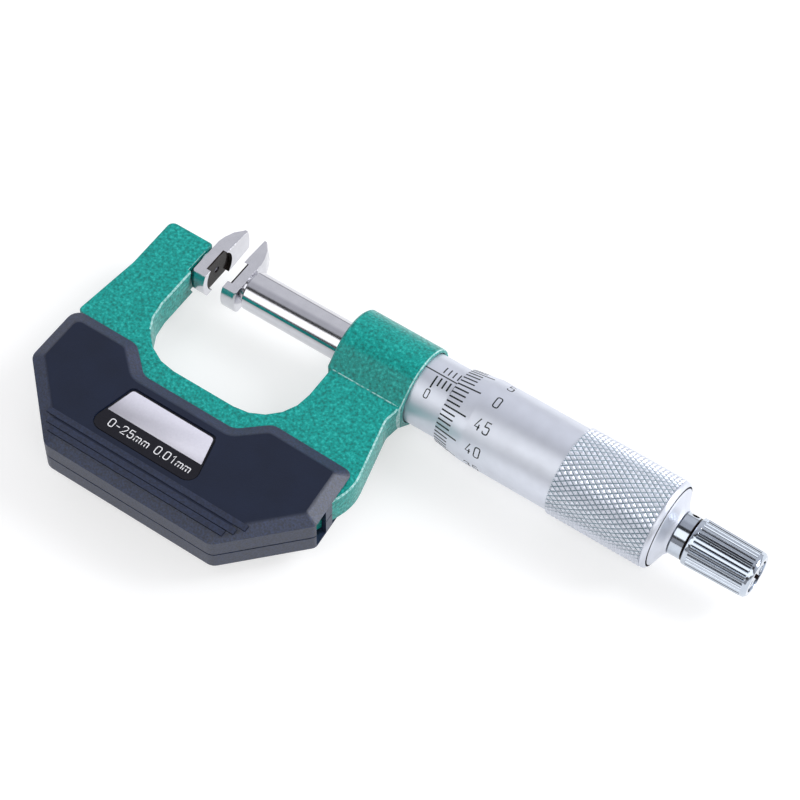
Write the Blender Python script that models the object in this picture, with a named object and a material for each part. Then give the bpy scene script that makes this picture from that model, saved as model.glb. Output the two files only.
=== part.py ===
"""Jaw micrometer, 0 to 25 mm, lying on its back with its scales facing up.

The modelling frame has X along the spindle axis towards the ratchet, Y from the
throat towards the tips of the jaws and Z out of the front face. X is measured from
the measuring face of the fixed jaw. The empty "micrometer" carries everything and
puts the part's origin under the middle of its bounding box. Lengths are in metres.
"""

import math

import bmesh
import bpy
from mathutils import Matrix, Vector

MM = 0.001

# Clearances between separate pieces, and how far a cutter reaches past what it cuts
SEAT = 0.25 * MM
RUN = 0.2 * MM
CUT = 2.0 * MM

# What the instrument measures
READING = 4.0 * MM
MEASURING_RANGE = 25.0 * MM

# Jaws
JAW_RADIUS = 5.3 * MM
JAW_THICKNESS = 3.0 * MM
BEAK_RADIUS = 9.6 * MM
BEAK_TIP_THICKNESS = 0.8 * MM
JAW_FLAT = 3.0 * MM
JAW_TAPER = 0.4 * MM
POCKET_RADIUS = 4.0 * MM
POCKET_DEPTH = 0.7 * MM
CENTRE_HOLE_RADIUS = 0.7 * MM
STEM_RADIUS = 2.2 * MM
STEM_LENGTH = 4.5 * MM
NECK_RADIUS = 2.8 * MM
NECK_LENGTH = 0.35 * MM

# Frame, with the corners of its outline
FRAME_HALF = 3.3 * MM
FRAME_EDGE = 0.45 * MM
ARM_INNER = -2.7 * MM
ARM_OUTER = -13.3 * MM
ARM_TOP = 2.7 * MM
ARM_TOP_CORNER = 1.4 * MM
ARM_BEND_Y = -9.4 * MM
ARM_BEND = 10.0 * MM
SPOT_RADIUS = 6.0 * MM
SHOULDER_X = -15.05 * MM
SHOULDER_CORNER = 0.8 * MM
COVER_TOP_Y = -24.4 * MM
COVER_HIDES = 0.4 * MM
THROAT_FLOOR = -24.9 * MM
THROAT_RIGHT = 31.5 * MM
THROAT_LEFT_CORNER = 10.8 * MM
THROAT_RIGHT_CORNER = 9.8 * MM
BACK_CORNER = 3.0 * MM
LEFT_HEEL_Y = -36.8 * MM
LEFT_HEEL = 2.0 * MM
BASE_LEFT_X = -0.6 * MM
BASE_RIGHT_X = 35.2 * MM
RIGHT_HEEL_X = 46.2 * MM
RIGHT_HEEL_Y = -37.2 * MM
RIGHT_BULGE_X = 49.9 * MM
RIGHT_BULGE_Y = -27.0 * MM
RIGHT_BULGE = 10.0 * MM
RIGHT_WAIST_X = 46.4 * MM
RIGHT_WAIST_Y = -11.8 * MM
RIGHT_WAIST = 3.5 * MM
HUB_START = 30.7 * MM
HUB_END = 47.1 * MM
HUB_WALL = 0.6 * MM
HUB_EDGE = 0.4 * MM
HUB_SET_BACK = 0.1 * MM
HUB_FAIRING_ANGLE = math.radians(133)

# Covers
COVER_SPLIT = 0.15 * MM
COVER_SIDE_TOP = 3.75 * MM
COVER_TOP = 5.1 * MM
COVER_INSET = 2.6 * MM
COVER_LEFT = -15.1 * MM
COVER_BOTTOM = -51.2 * MM
COVER_WALL = 1.5 * MM
COVER_HEEL_Y = -37.4 * MM
COVER_FOOT_LEFT_X = -1.2 * MM
COVER_FOOT_RIGHT_X = 35.8 * MM
COVER_RIGHT_X = 48.8 * MM
COVER_RIGHT_Y = -37.6 * MM
COVER_EAR_X = 47.9 * MM
COVER_EAR_Y = -24.7 * MM
COVER_CORNER = 2.4 * MM
COVER_RIGHT_CORNER = 1.5 * MM
EXIT_LOW_Y = -37.2 * MM
EXIT_HIGH_Y = -34.0 * MM
EXIT_DEPTH = 2.4 * MM
NOTCH_FLOOR = -29.2 * MM
NOTCH_LEFT_X = -0.8 * MM
NOTCH_FLOOR_LEFT_X = 4.5 * MM
NOTCH_FLOOR_RIGHT_X = 24.9 * MM
NOTCH_RIGHT_X = 30.3 * MM
NOTCH_CORNER = 3.0 * MM
LABEL_CENTRE_X = 14.6 * MM
LABEL_TOP_Y = -33.2 * MM
LABEL_BOTTOM_Y = -43.5 * MM
LABEL_HALF_TOP = 9.3 * MM
LABEL_HALF_BOTTOM = 11.9 * MM
LABEL_THICKNESS = 0.35 * MM
LABEL_RECESS = 0.6 * MM
PEG_XS = (2.5 * MM, 32.0 * MM)
PEG_Y = -37.5 * MM
PEG_RADIUS = 2.2 * MM
PEG_END = -1.6 * MM
COVER_SCREW_RADIUS = 0.9 * MM
COVER_SCREW_HEAD = 1.9 * MM
COVER_SCREW_SINK = 1.0 * MM

# Spindle and the parts that guide it
SPINDLE_RADIUS = 4.0 * MM
SPINDLE_END = 49.0 * MM
SOCKET_WALL = 0.9 * MM
SOCKET_DEPTH = 7.0 * MM
KEY_X = 35.0 * MM
KEY_PIN_RADIUS = 0.8 * MM
KEY_SCREW_RADIUS = 1.5 * MM
KEYWAY_DEPTH = 1.0 * MM
THRUST_BALL_RADIUS = 1.2 * MM

# Sleeves and nut
INNER_SLEEVE_START = 39.9 * MM
INNER_SLEEVE_END = 82.3 * MM
INNER_SLEEVE_WALL = 1.15 * MM
NUT_START = 70.6 * MM
SLEEVE_START = 44.2 * MM
SLEEVE_END = 76.8 * MM
SLEEVE_WALL = 1.5 * MM
ADJUSTER_WALL = 1.05 * MM
ADJUSTER_LENGTH = 4.4 * MM
ADJUSTER_SLOTS = 4

# Screw, thimble and ratchet
THREAD_CLEARANCE = 0.3 * MM
THIMBLE_START = 54.0 * MM
THIMBLE_EDGE_WALL = 0.2 * MM
THIMBLE_BEVEL = 5.7 * MM
THIMBLE_RISE = 0.85 * MM
KNURL_START = 78.6 * MM
KNURL_RISE = 0.45 * MM
THIMBLE_END = 99.4 * MM
WEB_START = 88.0 * MM
WEB_END = 96.0 * MM
CAP_WALL = 0.6 * MM
CAP_NOSE = 101.3 * MM
BASE_NECK_RADIUS = 4.2 * MM
SPANNER_HOLE_X = 1.35 * MM
SPANNER_HOLE_RADIUS = 0.65 * MM
SPANNER_HOLE_TURN = math.radians(47)
KNOB_START = 104.4 * MM
KNOB_END = 117.4 * MM
KNOB_RADIUS = 4.65 * MM
KNOB_END_RADIUS = 4.45 * MM
KNOB_CAVITY = 3.5 * MM
KNOB_CAVITY_DEPTH = 7.6 * MM
KNOB_WEB = 1.4 * MM
FLUTES = 32
FLUTE_DEPTH = 0.3 * MM
KNOB_COLLAR = 0.9 * MM
SHAFT_RADIUS = 1.5 * MM
END_SCREW_RADIUS = 2.9 * MM
TEETH = 12
TOOTH_HEIGHT = 0.35 * MM

TURN_SEGMENTS = 48
SMALL_SEGMENTS = 24
ARC_STEPS = 5

# Sizes that follow from those above
SPINDLE_START = READING + JAW_THICKNESS + SEAT
SOCKET_RADIUS = SPINDLE_RADIUS - SOCKET_WALL
SCREW_RADIUS = SOCKET_RADIUS
SCREW_SHOULDER_RADIUS = SPINDLE_RADIUS
NUT_BORE = SCREW_RADIUS + THREAD_CLEARANCE
INNER_SLEEVE_RADIUS = SPINDLE_RADIUS + SEAT + INNER_SLEEVE_WALL
SLEEVE_RADIUS = INNER_SLEEVE_RADIUS + SEAT + SLEEVE_WALL
ADJUSTER_RADIUS = INNER_SLEEVE_RADIUS + SEAT + ADJUSTER_WALL
HUB_RADIUS = SLEEVE_RADIUS + SEAT + HUB_WALL
THIMBLE_EDGE_RADIUS = SLEEVE_RADIUS + RUN + THIMBLE_EDGE_WALL
THIMBLE_RADIUS = THIMBLE_EDGE_RADIUS + THIMBLE_RISE
KNURL_RADIUS = THIMBLE_RADIUS + KNURL_RISE
CAP_RADIUS = THIMBLE_RADIUS - CAP_WALL


def clear_scene():
    for thing in list(bpy.data.objects):
        bpy.data.objects.remove(thing, do_unlink=True)


def material(name, colour, roughness, metallic):
    """Return a new Principled material."""
    result = bpy.data.materials.new(name)
    result.use_nodes = True
    shader = result.node_tree.nodes["Principled BSDF"]
    shader.inputs["Base Color"].default_value = (*colour, 1.0)
    shader.inputs["Roughness"].default_value = roughness
    shader.inputs["Metallic"].default_value = metallic
    result.diffuse_color = (*colour, 1.0)
    return result


def empty(name, parent=None, location=(0.0, 0.0, 0.0)):
    """Return an empty that carries other pieces."""
    result = bpy.data.objects.new(name, None)
    bpy.context.collection.objects.link(result)
    result.parent = parent
    result.location = location
    return result


def finish(name, mesh_data, parent, location, surface):
    """Turn a bmesh into a smooth-shaded object under its parent."""
    bmesh.ops.recalc_face_normals(mesh_data, faces=mesh_data.faces)
    mesh = bpy.data.meshes.new(name)
    mesh_data.to_mesh(mesh)
    mesh_data.free()
    mesh.shade_smooth()
    mesh.set_sharp_from_angle(angle=math.radians(25))
    result = bpy.data.objects.new(name, mesh)
    bpy.context.collection.objects.link(result)
    result.parent = parent
    result.location = location
    if surface is not None:
        result.data.materials.append(surface)
    return result


def turned(name, parent, station, profile, surface, segments=TURN_SEGMENTS):
    """Turn a profile of (distance along X, radius) pairs about the X axis.

    Distances are measured from the station. A profile that starts and ends on the
    axis gives a solid, and any other is closed into a ring.
    """
    shape = bmesh.new()
    rim = [shape.verts.new((along, 0.0, radius)) for along, radius in profile]
    solid = profile[0][1] == 0.0 and profile[-1][1] == 0.0
    pairs = list(zip(rim, rim[1:]))
    if not solid:
        pairs.append((rim[-1], rim[0]))
    edges = [shape.edges.new(pair) for pair in pairs]
    bmesh.ops.spin(
        shape,
        geom=rim + edges,
        cent=(0.0, 0.0, 0.0),
        axis=(1.0, 0.0, 0.0),
        angle=math.tau,
        steps=segments,
    )
    bmesh.ops.remove_doubles(shape, verts=shape.verts, dist=0.001 * MM)
    return finish(name, shape, parent, (station, 0.0, 0.0), surface)


def tube(name, parent, start, end, inner, outer, surface, segments=TURN_SEGMENTS):
    """A plain ring between two stations."""
    length = end - start
    profile = [(0.0, inner), (0.0, outer), (length, outer), (length, inner)]
    return turned(name, parent, start, profile, surface, segments)


def rounded(corners):
    """Return the outline through (x, y, radius) corners with filleted corners."""
    outline = []
    count = len(corners)
    for index, (x, y, radius) in enumerate(corners):
        here = Vector((x, y))
        before = Vector(corners[index - 1][:2])
        after = Vector(corners[(index + 1) % count][:2])
        back = (before - here).normalized()
        ahead = (after - here).normalized()
        half_angle = back.angle(ahead) / 2
        reach = radius / math.tan(half_angle)
        start = here + back * reach
        stop = here + ahead * reach
        centre = here + (back + ahead).normalized() * (radius / math.sin(half_angle))
        first = start - centre
        sweep = first.angle_signed(stop - centre)
        for step in range(ARC_STEPS + 1):
            turn = Matrix.Rotation(-sweep * step / ARC_STEPS, 2)
            outline.append(centre + turn @ first)
    return outline


def offset_corners(corners, distance, radius_of):
    """Move each side of a counter-clockwise outline inwards by a distance."""
    moved = []
    count = len(corners)
    for index, (x, y, radius) in enumerate(corners):
        here = Vector((x, y))
        incoming = (here - Vector(corners[index - 1][:2])).normalized()
        outgoing = (Vector(corners[(index + 1) % count][:2]) - here).normalized()
        inwards_in = Vector((-incoming.y, incoming.x))
        inwards_out = Vector((-outgoing.y, outgoing.x))
        bisector = (inwards_in + inwards_out).normalized()
        shift = bisector * (distance / bisector.dot(inwards_in))
        turning = incoming.cross(outgoing)
        point = here + shift
        moved.append((point.x, point.y, radius_of(radius, turning > 0)))
    return moved


def lofted(name, parent, rings, surface, location=(0.0, 0.0, 0.0)):
    """Join rings of points that match one to one, and close both ends."""
    shape = bmesh.new()
    loops = [[shape.verts.new(point) for point in ring] for ring in rings]
    count = len(loops[0])
    for lower, upper in zip(loops, loops[1:]):
        for index in range(count):
            ahead = (index + 1) % count
            shape.faces.new((lower[index], lower[ahead], upper[ahead], upper[index]))
    shape.faces.new(loops[0][::-1])
    shape.faces.new(loops[-1])
    return finish(name, shape, parent, location, surface)


def prism(name, parent, outline, low, high, surface=None, edge=0.0):
    """Extrude an XY outline between two heights, with chamfered rims if asked."""
    shape = bmesh.new()
    loop = [shape.verts.new((point[0], point[1], low)) for point in outline]
    base = shape.faces.new(loop)
    moved = bmesh.ops.extrude_face_region(shape, geom=[base])
    raised = [item for item in moved["geom"] if isinstance(item, bmesh.types.BMVert)]
    bmesh.ops.translate(shape, verts=raised, vec=(0.0, 0.0, high - low))
    if edge:
        rims = [item for item in shape.edges
                if abs(item.verts[0].co.z - item.verts[1].co.z) < 0.01 * MM]
        bmesh.ops.bevel(shape, geom=rims, offset=edge, segments=2, profile=0.5,
                        affect="EDGES")
    return finish(name, shape, parent, (0.0, 0.0, 0.0), surface)


def cylinder(name, parent, centre, axis, radius, length, segments=SMALL_SEGMENTS):
    """A plain cylinder about a centre, along X or Z, for cutting or joining."""
    shape = bmesh.new()
    turn = Matrix.Rotation(math.pi / 2, 4, "Y") if axis == "X" else Matrix.Identity(4)
    bmesh.ops.create_cone(shape, cap_ends=True, segments=segments, radius1=radius,
                          radius2=radius, depth=length, matrix=turn)
    return finish(name, shape, parent, centre, None)


def block(name, parent, low, high):
    """A plain box between two corners, for cutting or joining."""
    outline = [(low[0], low[1]), (high[0], low[1]), (high[0], high[1]), (low[0], high[1])]
    return prism(name, parent, outline, low[2], high[2])


def combine(piece, tool, operation="DIFFERENCE", solver="EXACT"):
    """Cut or join a piece with a hidden tool."""
    tool.hide_render = True
    tool.display_type = "WIRE"
    change = piece.modifiers.new(tool.name, "BOOLEAN")
    change.object = tool
    change.operation = operation
    change.solver = solver


def frame_corners(spread=0.0):
    """The frame's outline seen from the front, counter-clockwise."""
    wall = COVER_WALL + SEAT - spread
    inner_left = COVER_LEFT + wall
    inner_bottom = COVER_BOTTOM + wall
    return [
        (ARM_INNER + spread, ARM_TOP + spread, ARM_TOP_CORNER),
        (ARM_OUTER - spread, ARM_TOP + spread, ARM_TOP_CORNER),
        (ARM_OUTER - spread, ARM_BEND_Y, ARM_BEND),
        (SHOULDER_X - spread, COVER_TOP_Y + COVER_HIDES, SHOULDER_CORNER),
        (inner_left, COVER_TOP_Y + COVER_HIDES / 2, COVER_HIDES),
        (inner_left, LEFT_HEEL_Y, LEFT_HEEL),
        (BASE_LEFT_X, inner_bottom, BACK_CORNER),
        (BASE_RIGHT_X, inner_bottom, BACK_CORNER),
        (RIGHT_HEEL_X + spread, RIGHT_HEEL_Y, BACK_CORNER),
        (RIGHT_BULGE_X + spread, RIGHT_BULGE_Y, RIGHT_BULGE),
        (RIGHT_WAIST_X + spread, RIGHT_WAIST_Y, RIGHT_WAIST),
        (HUB_END - HUB_SET_BACK, -HUB_RADIUS, RIGHT_WAIST),
        (HUB_END - HUB_SET_BACK, -HUB_RADIUS / 4, ARM_TOP_CORNER),
        (THROAT_RIGHT - spread, -HUB_RADIUS / 4, ARM_TOP_CORNER),
        (THROAT_RIGHT - spread, THROAT_FLOOR + spread, THROAT_RIGHT_CORNER - spread),
        (ARM_INNER + spread, THROAT_FLOOR + spread, THROAT_LEFT_CORNER - spread),
    ]


def cover_corners():
    """The outline of either cover seen from the front, counter-clockwise."""
    return [
        (COVER_LEFT, COVER_TOP_Y, COVER_CORNER),
        (COVER_LEFT, COVER_HEEL_Y, COVER_CORNER),
        (COVER_FOOT_LEFT_X, COVER_BOTTOM, COVER_CORNER),
        (COVER_FOOT_RIGHT_X, COVER_BOTTOM, COVER_CORNER),
        (COVER_RIGHT_X, COVER_RIGHT_Y, COVER_RIGHT_CORNER),
        (COVER_EAR_X, COVER_EAR_Y, COVER_RIGHT_CORNER),
        (NOTCH_RIGHT_X, COVER_TOP_Y, NOTCH_CORNER),
        (NOTCH_FLOOR_RIGHT_X, NOTCH_FLOOR, NOTCH_CORNER),
        (NOTCH_FLOOR_LEFT_X, NOTCH_FLOOR, NOTCH_CORNER),
        (NOTCH_LEFT_X, COVER_TOP_Y, NOTCH_CORNER),
    ]


def build_frame(root, surface):
    frame = prism("frame", root, rounded(frame_corners()), -FRAME_HALF, FRAME_HALF,
                  surface, FRAME_EDGE)

    for index, x in enumerate(PEG_XS, 1):
        combine(frame, cylinder("frame_peg_hole_%d" % index, root, (x, PEG_Y, 0), "Z",
                                PEG_RADIUS + SEAT, 4 * FRAME_HALF))

    start = Vector((math.cos(HUB_FAIRING_ANGLE), math.sin(HUB_FAIRING_ANGLE))) * HUB_RADIUS
    slope = Vector((-math.sin(HUB_FAIRING_ANGLE), math.cos(HUB_FAIRING_ANGLE)))
    foot_z = FRAME_HALF - 0.1 * MM
    foot = start + slope * ((start.y - foot_z) / -slope.y)
    steps = TURN_SEGMENTS * 2 // 3
    section = [(foot.x, -foot.y)]
    for step in range(steps + 1):
        angle = -HUB_FAIRING_ANGLE + 2 * HUB_FAIRING_ANGLE * step / steps
        section.append((math.cos(angle) * HUB_RADIUS, math.sin(angle) * HUB_RADIUS))
    section.append((foot.x, foot.y))
    small = 1 - HUB_EDGE / HUB_RADIUS
    rings = [[(x, y * size, z * size) for y, z in section] for x, size in (
        (HUB_START, small), (HUB_START + HUB_EDGE, 1.0),
        (HUB_END - HUB_EDGE / 2, 1.0), (HUB_END, 1 - HUB_EDGE / 2 / HUB_RADIUS))]
    combine(frame, lofted("hub", root, rings, None), "UNION")

    guide = SPINDLE_RADIUS + SEAT
    length = HUB_END - HUB_START + 2 * CUT
    middle = (HUB_START + HUB_END) / 2
    combine(frame, cylinder("guide_bore", root, (middle, 0, 0), "X", guide, length,
                            TURN_SEGMENTS))
    seat_start = INNER_SLEEVE_START - SEAT
    sleeve_bore = turned("sleeve_bore", root, seat_start, [
        (0.0, 0.0),
        (0.0, INNER_SLEEVE_RADIUS + SEAT),
        (SLEEVE_START - SEAT - seat_start, INNER_SLEEVE_RADIUS + SEAT),
        (SLEEVE_START - SEAT - seat_start, SLEEVE_RADIUS + SEAT),
        (HUB_END + CUT - seat_start, SLEEVE_RADIUS + SEAT),
        (HUB_END + CUT - seat_start, 0.0),
    ], None)
    combine(frame, sleeve_bore)

    spot_face = -(JAW_THICKNESS + NECK_LENGTH + SEAT)
    spot_length = 2 * CUT
    combine(frame, cylinder("spot_face", root, (spot_face + spot_length / 2, 0, 0), "X",
                            SPOT_RADIUS, spot_length, TURN_SEGMENTS))
    combine(frame, cylinder("anvil_bore", root, (spot_face, 0, 0), "X",
                            STEM_RADIUS + SEAT, 2 * (STEM_LENGTH + NECK_LENGTH)))
    key_depth = HUB_RADIUS - SPINDLE_RADIUS + CUT
    key_middle = -(HUB_RADIUS + CUT / 2) + key_depth / 2
    combine(frame, cylinder("key_hole", root, (KEY_X, 0, key_middle), "Z",
                            KEY_SCREW_RADIUS + SEAT, key_depth))
    return frame


def build_cover_shell(name, root, surface, side):
    """One shell of the heat-insulating covers; side is +1 in front and -1 behind."""
    def inner_radius(radius, convex):
        return max(radius - 1.2 * MM, 0.6 * MM) if convex else radius + 1.2 * MM

    corners = cover_corners()
    outer = rounded(corners)
    inner = rounded(offset_corners(corners, COVER_INSET, inner_radius))
    levels = ((outer, COVER_SPLIT), (outer, COVER_SIDE_TOP), (inner, COVER_TOP))
    rings = [[(point.x, point.y, side * z) for point in ring] for ring, z in levels]
    cover = lofted(name, root, rings, surface)

    room = FRAME_HALF + SEAT
    combine(cover, prism(name + "_frame_room", root, rounded(frame_corners(SEAT)),
                         -room, room))
    exit_left = RIGHT_HEEL_X - EXIT_DEPTH + SEAT
    combine(cover, block(name + "_exit", root, (exit_left, EXIT_LOW_Y, -room),
                         (COVER_RIGHT_X + CUT, EXIT_HIGH_Y, room)))
    return cover


def build_front_cover(root, surface):
    cover = build_cover_shell("front_cover", root, surface, 1)
    combine(cover, prism("label_recess", root, label_outline(SEAT),
                         COVER_TOP - LABEL_RECESS, COVER_TOP + CUT))
    for index, x in enumerate(PEG_XS, 1):
        top = COVER_TOP - 0.9 * MM
        middle = (top + PEG_END) / 2
        combine(cover, cylinder("peg_%d" % index, root, (x, PEG_Y, middle), "Z",
                                PEG_RADIUS, top - PEG_END), "UNION")
        pilot = 5.0 * MM
        combine(cover, cylinder("pilot_%d" % index, root, (x, PEG_Y, PEG_END), "Z",
                                COVER_SCREW_RADIUS + SEAT, 2 * pilot, SMALL_SEGMENTS // 2))
    return cover


def build_rear_cover(root, surface):
    cover = build_cover_shell("rear_cover", root, surface, -1)
    for index, x in enumerate(PEG_XS, 1):
        combine(cover, cylinder("screw_hole_%d" % index, root, (x, PEG_Y, -COVER_TOP), "Z",
                                COVER_SCREW_RADIUS + SEAT, 3 * CUT, SMALL_SEGMENTS // 2))
        combine(cover, cylinder("screw_sink_%d" % index, root, (x, PEG_Y, -COVER_TOP), "Z",
                                COVER_SCREW_HEAD + SEAT, 2 * COVER_SCREW_SINK))
    return cover


def label_outline(spread=0.0):
    """The label is a trapezium with rounded corners, wider at the bottom."""
    top = LABEL_TOP_Y + spread
    bottom = LABEL_BOTTOM_Y - spread
    half_top = LABEL_HALF_TOP + spread
    half_bottom = LABEL_HALF_BOTTOM + spread
    return rounded([
        (LABEL_CENTRE_X + half_top, top, 1.0 * MM + spread),
        (LABEL_CENTRE_X - half_top, top, 1.0 * MM + spread),
        (LABEL_CENTRE_X - half_bottom, bottom, 2.0 * MM + spread),
        (LABEL_CENTRE_X + half_bottom, bottom, 2.0 * MM + spread),
    ])


def build_label(root, surface):
    seat = COVER_TOP - LABEL_RECESS + 0.05 * MM
    return prism("label_plate", root, label_outline(), seat, seat + LABEL_THICKNESS, surface)


def build_cover_screw(root, index, x, surface):
    """A pan-head screw that comes in from the back and holds both covers."""
    head_depth = COVER_SCREW_SINK - SEAT - 0.1 * MM
    shank_end = PEG_END + 4.0 * MM
    screw = turned("cover_screw_%d" % index, root, 0.0, [
        (0.0, 0.0),
        (0.0, COVER_SCREW_HEAD * 0.75),
        (head_depth * 0.5, COVER_SCREW_HEAD),
        (head_depth, COVER_SCREW_HEAD),
        (head_depth, COVER_SCREW_RADIUS),
        (shank_end + COVER_TOP, COVER_SCREW_RADIUS),
        (shank_end + COVER_TOP, 0.0),
    ], surface, SMALL_SEGMENTS)
    screw.rotation_euler = (0.0, -math.pi / 2, 0.0)
    screw.location = (x, PEG_Y, -COVER_TOP + 0.1 * MM)
    slot_half = 0.25 * MM
    for turn, (wide, narrow) in enumerate(((1.3 * MM, slot_half), (slot_half, 1.3 * MM))):
        low = (x - wide, PEG_Y - narrow, -COVER_TOP - 1 * MM)
        high = (x + wide, PEG_Y + narrow, -COVER_TOP + 0.45 * MM)
        combine(screw, block("cross_slot_%d_%d" % (index, turn), root, low, high))
    return screw


def jaw_section(x, disc_radius, beak_radius):
    """A jaw's section: round below, the flat sides, then the beak's round top."""
    def side(y):
        share = max(0.0, (y - JAW_RADIUS) / (BEAK_RADIUS - JAW_RADIUS))
        return JAW_FLAT - JAW_TAPER * share

    steps = 8
    top_half = side(beak_radius)
    shoulder = math.sqrt(JAW_RADIUS ** 2 - JAW_FLAT ** 2)
    ring = []
    for step in range(steps + 1):
        z = JAW_FLAT * (2 * step / steps - 1)
        ring.append((x, -math.sqrt(disc_radius ** 2 - z ** 2), z))
    ring.append((x, min(shoulder, math.sqrt(disc_radius ** 2 - JAW_FLAT ** 2) - 0.1 * MM),
                 JAW_FLAT))
    for step in range(steps + 1):
        z = top_half * (1 - 2 * step / steps)
        ring.append((x, math.sqrt(beak_radius ** 2 - z ** 2), z))
    ring.append((x, min(shoulder, math.sqrt(disc_radius ** 2 - JAW_FLAT ** 2) - 0.1 * MM),
                 -JAW_FLAT))
    return ring


def build_jaw(name, parent, location, surface):
    """A milled jaw whose measuring face looks along its own +X.

    The body is a loft whose back slopes up into the beak. A round neck and stem
    behind it fit the frame or the spindle.
    """
    back = -JAW_THICKNESS
    tip = -BEAK_TIP_THICKNESS
    body = lofted(name, parent, [
        jaw_section(back, JAW_RADIUS - 0.3 * MM, JAW_RADIUS - 0.3 * MM),
        jaw_section(back + 0.3 * MM, JAW_RADIUS, JAW_RADIUS + 0.9 * MM),
        jaw_section((back + tip) / 2, JAW_RADIUS, JAW_RADIUS + 2.7 * MM),
        jaw_section(tip, JAW_RADIUS, BEAK_RADIUS - 0.4 * MM),
        jaw_section(tip + 0.3 * MM, JAW_RADIUS, BEAK_RADIUS),
        jaw_section(0.0, JAW_RADIUS, BEAK_RADIUS),
    ], surface, location)

    stem = turned(name + "_stem", body, 0.0, [
        (back - NECK_LENGTH - STEM_LENGTH, 0.0),
        (back - NECK_LENGTH - STEM_LENGTH, STEM_RADIUS),
        (back - NECK_LENGTH, STEM_RADIUS),
        (back - NECK_LENGTH, NECK_RADIUS),
        (back + 0.5 * MM, NECK_RADIUS),
        (back + 0.5 * MM, 0.0),
    ], None, SMALL_SEGMENTS)
    combine(body, stem, "UNION")
    combine(body, cylinder(name + "_pocket", body, (0, 0, 0), "X", POCKET_RADIUS,
                           2 * POCKET_DEPTH, TURN_SEGMENTS))
    combine(body, cylinder(name + "_centre_hole", body, (0, 0, 0), "X",
                           CENTRE_HOLE_RADIUS, 4 * POCKET_DEPTH, SMALL_SEGMENTS // 2))
    return body


def build_spindle(carrier, surface):
    length = SPINDLE_END - SPINDLE_START
    stem_room = STEM_LENGTH + NECK_LENGTH + SEAT
    neck_room = NECK_LENGTH + SEAT
    spindle = turned("spindle", carrier, SPINDLE_START, [
        (stem_room, 0.0),
        (stem_room, STEM_RADIUS + SEAT),
        (neck_room, STEM_RADIUS + SEAT),
        (neck_room, SPINDLE_RADIUS - 0.2 * MM),
        (neck_room + 0.2 * MM, SPINDLE_RADIUS),
        (length, SPINDLE_RADIUS),
        (length, SOCKET_RADIUS),
        (length - SOCKET_DEPTH, SOCKET_RADIUS),
        (length - SOCKET_DEPTH, 0.0),
    ], surface)
    travel_back = MEASURING_RANGE - READING
    slot_start = KEY_X - travel_back - 2 * KEY_PIN_RADIUS
    slot_end = KEY_X + READING + 2 * KEY_PIN_RADIUS
    half = KEY_PIN_RADIUS + SEAT
    depth = SPINDLE_RADIUS - KEYWAY_DEPTH
    combine(spindle, block("keyway", carrier, (slot_start, -half, -2 * SPINDLE_RADIUS),
                           (slot_end, half, -depth)))
    return spindle


def build_key(root, surface):
    """A screw with a plain pin that runs in the spindle's keyway."""
    pin_tip = SPINDLE_RADIUS - KEYWAY_DEPTH + SEAT
    screw_end = SPINDLE_RADIUS + 2 * SEAT
    top = HUB_RADIUS - 0.3 * MM
    key = turned("spindle_key", root, 0.0, [
        (-top, 0.0),
        (-top, KEY_SCREW_RADIUS),
        (-screw_end, KEY_SCREW_RADIUS),
        (-screw_end, KEY_PIN_RADIUS),
        (-pin_tip, KEY_PIN_RADIUS),
        (-pin_tip, 0.0),
    ], surface, SMALL_SEGMENTS)
    key.rotation_euler = (0.0, -math.pi / 2, 0.0)
    key.location = (KEY_X, 0.0, 0.0)
    slot = block("key_slot", root, (KEY_X - 2 * MM, -0.3 * MM, -HUB_RADIUS - 1 * MM),
                 (KEY_X + 2 * MM, 0.3 * MM, -top + 0.6 * MM))
    combine(key, slot)
    return key


def build_sleeves(root, satin, steel):
    sleeve = tube("sleeve", root, SLEEVE_START, SLEEVE_END, INNER_SLEEVE_RADIUS + SEAT,
                  SLEEVE_RADIUS, satin)
    nut_at = NUT_START - INNER_SLEEVE_START
    length = INNER_SLEEVE_END - INNER_SLEEVE_START
    taper_at = SLEEVE_END + SEAT - INNER_SLEEVE_START
    inner = turned("inner_sleeve", root, INNER_SLEEVE_START, [
        (0.0, SPINDLE_RADIUS + SEAT),
        (0.0, INNER_SLEEVE_RADIUS),
        (taper_at, INNER_SLEEVE_RADIUS),
        (length, INNER_SLEEVE_RADIUS - 0.4 * MM),
        (length, NUT_BORE),
        (nut_at, NUT_BORE),
        (nut_at, SPINDLE_RADIUS + SEAT),
    ], steel, SMALL_SEGMENTS)
    slit_half = 0.3 * MM
    for index, (wide_y, wide_z) in enumerate(((9 * MM, slit_half), (slit_half, 9 * MM))):
        combine(inner, block("slit_%d" % index, root,
                             (NUT_START + 1 * MM, -wide_y, -wide_z),
                             (INNER_SLEEVE_END + 1 * MM, wide_y, wide_z)))
    return sleeve, inner


def build_adjusting_nut(root, surface):
    nut = tube("adjusting_nut", root, SLEEVE_END + 2 * SEAT,
               SLEEVE_END + 2 * SEAT + ADJUSTER_LENGTH,
               INNER_SLEEVE_RADIUS + SEAT, ADJUSTER_RADIUS, surface, SMALL_SEGMENTS)
    end = SLEEVE_END + 2 * SEAT + ADJUSTER_LENGTH
    for index in range(ADJUSTER_SLOTS):
        slot = block("spanner_slot_%d" % index, root,
                     (end - 1.2 * MM, -0.5 * MM, ADJUSTER_RADIUS - 0.6 * MM),
                     (end + 1 * MM, 0.5 * MM, ADJUSTER_RADIUS + 1 * MM))
        slot.rotation_euler = (math.tau * (index + 0.5) / ADJUSTER_SLOTS, 0.0, 0.0)
        combine(nut, slot)
    return nut


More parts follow.
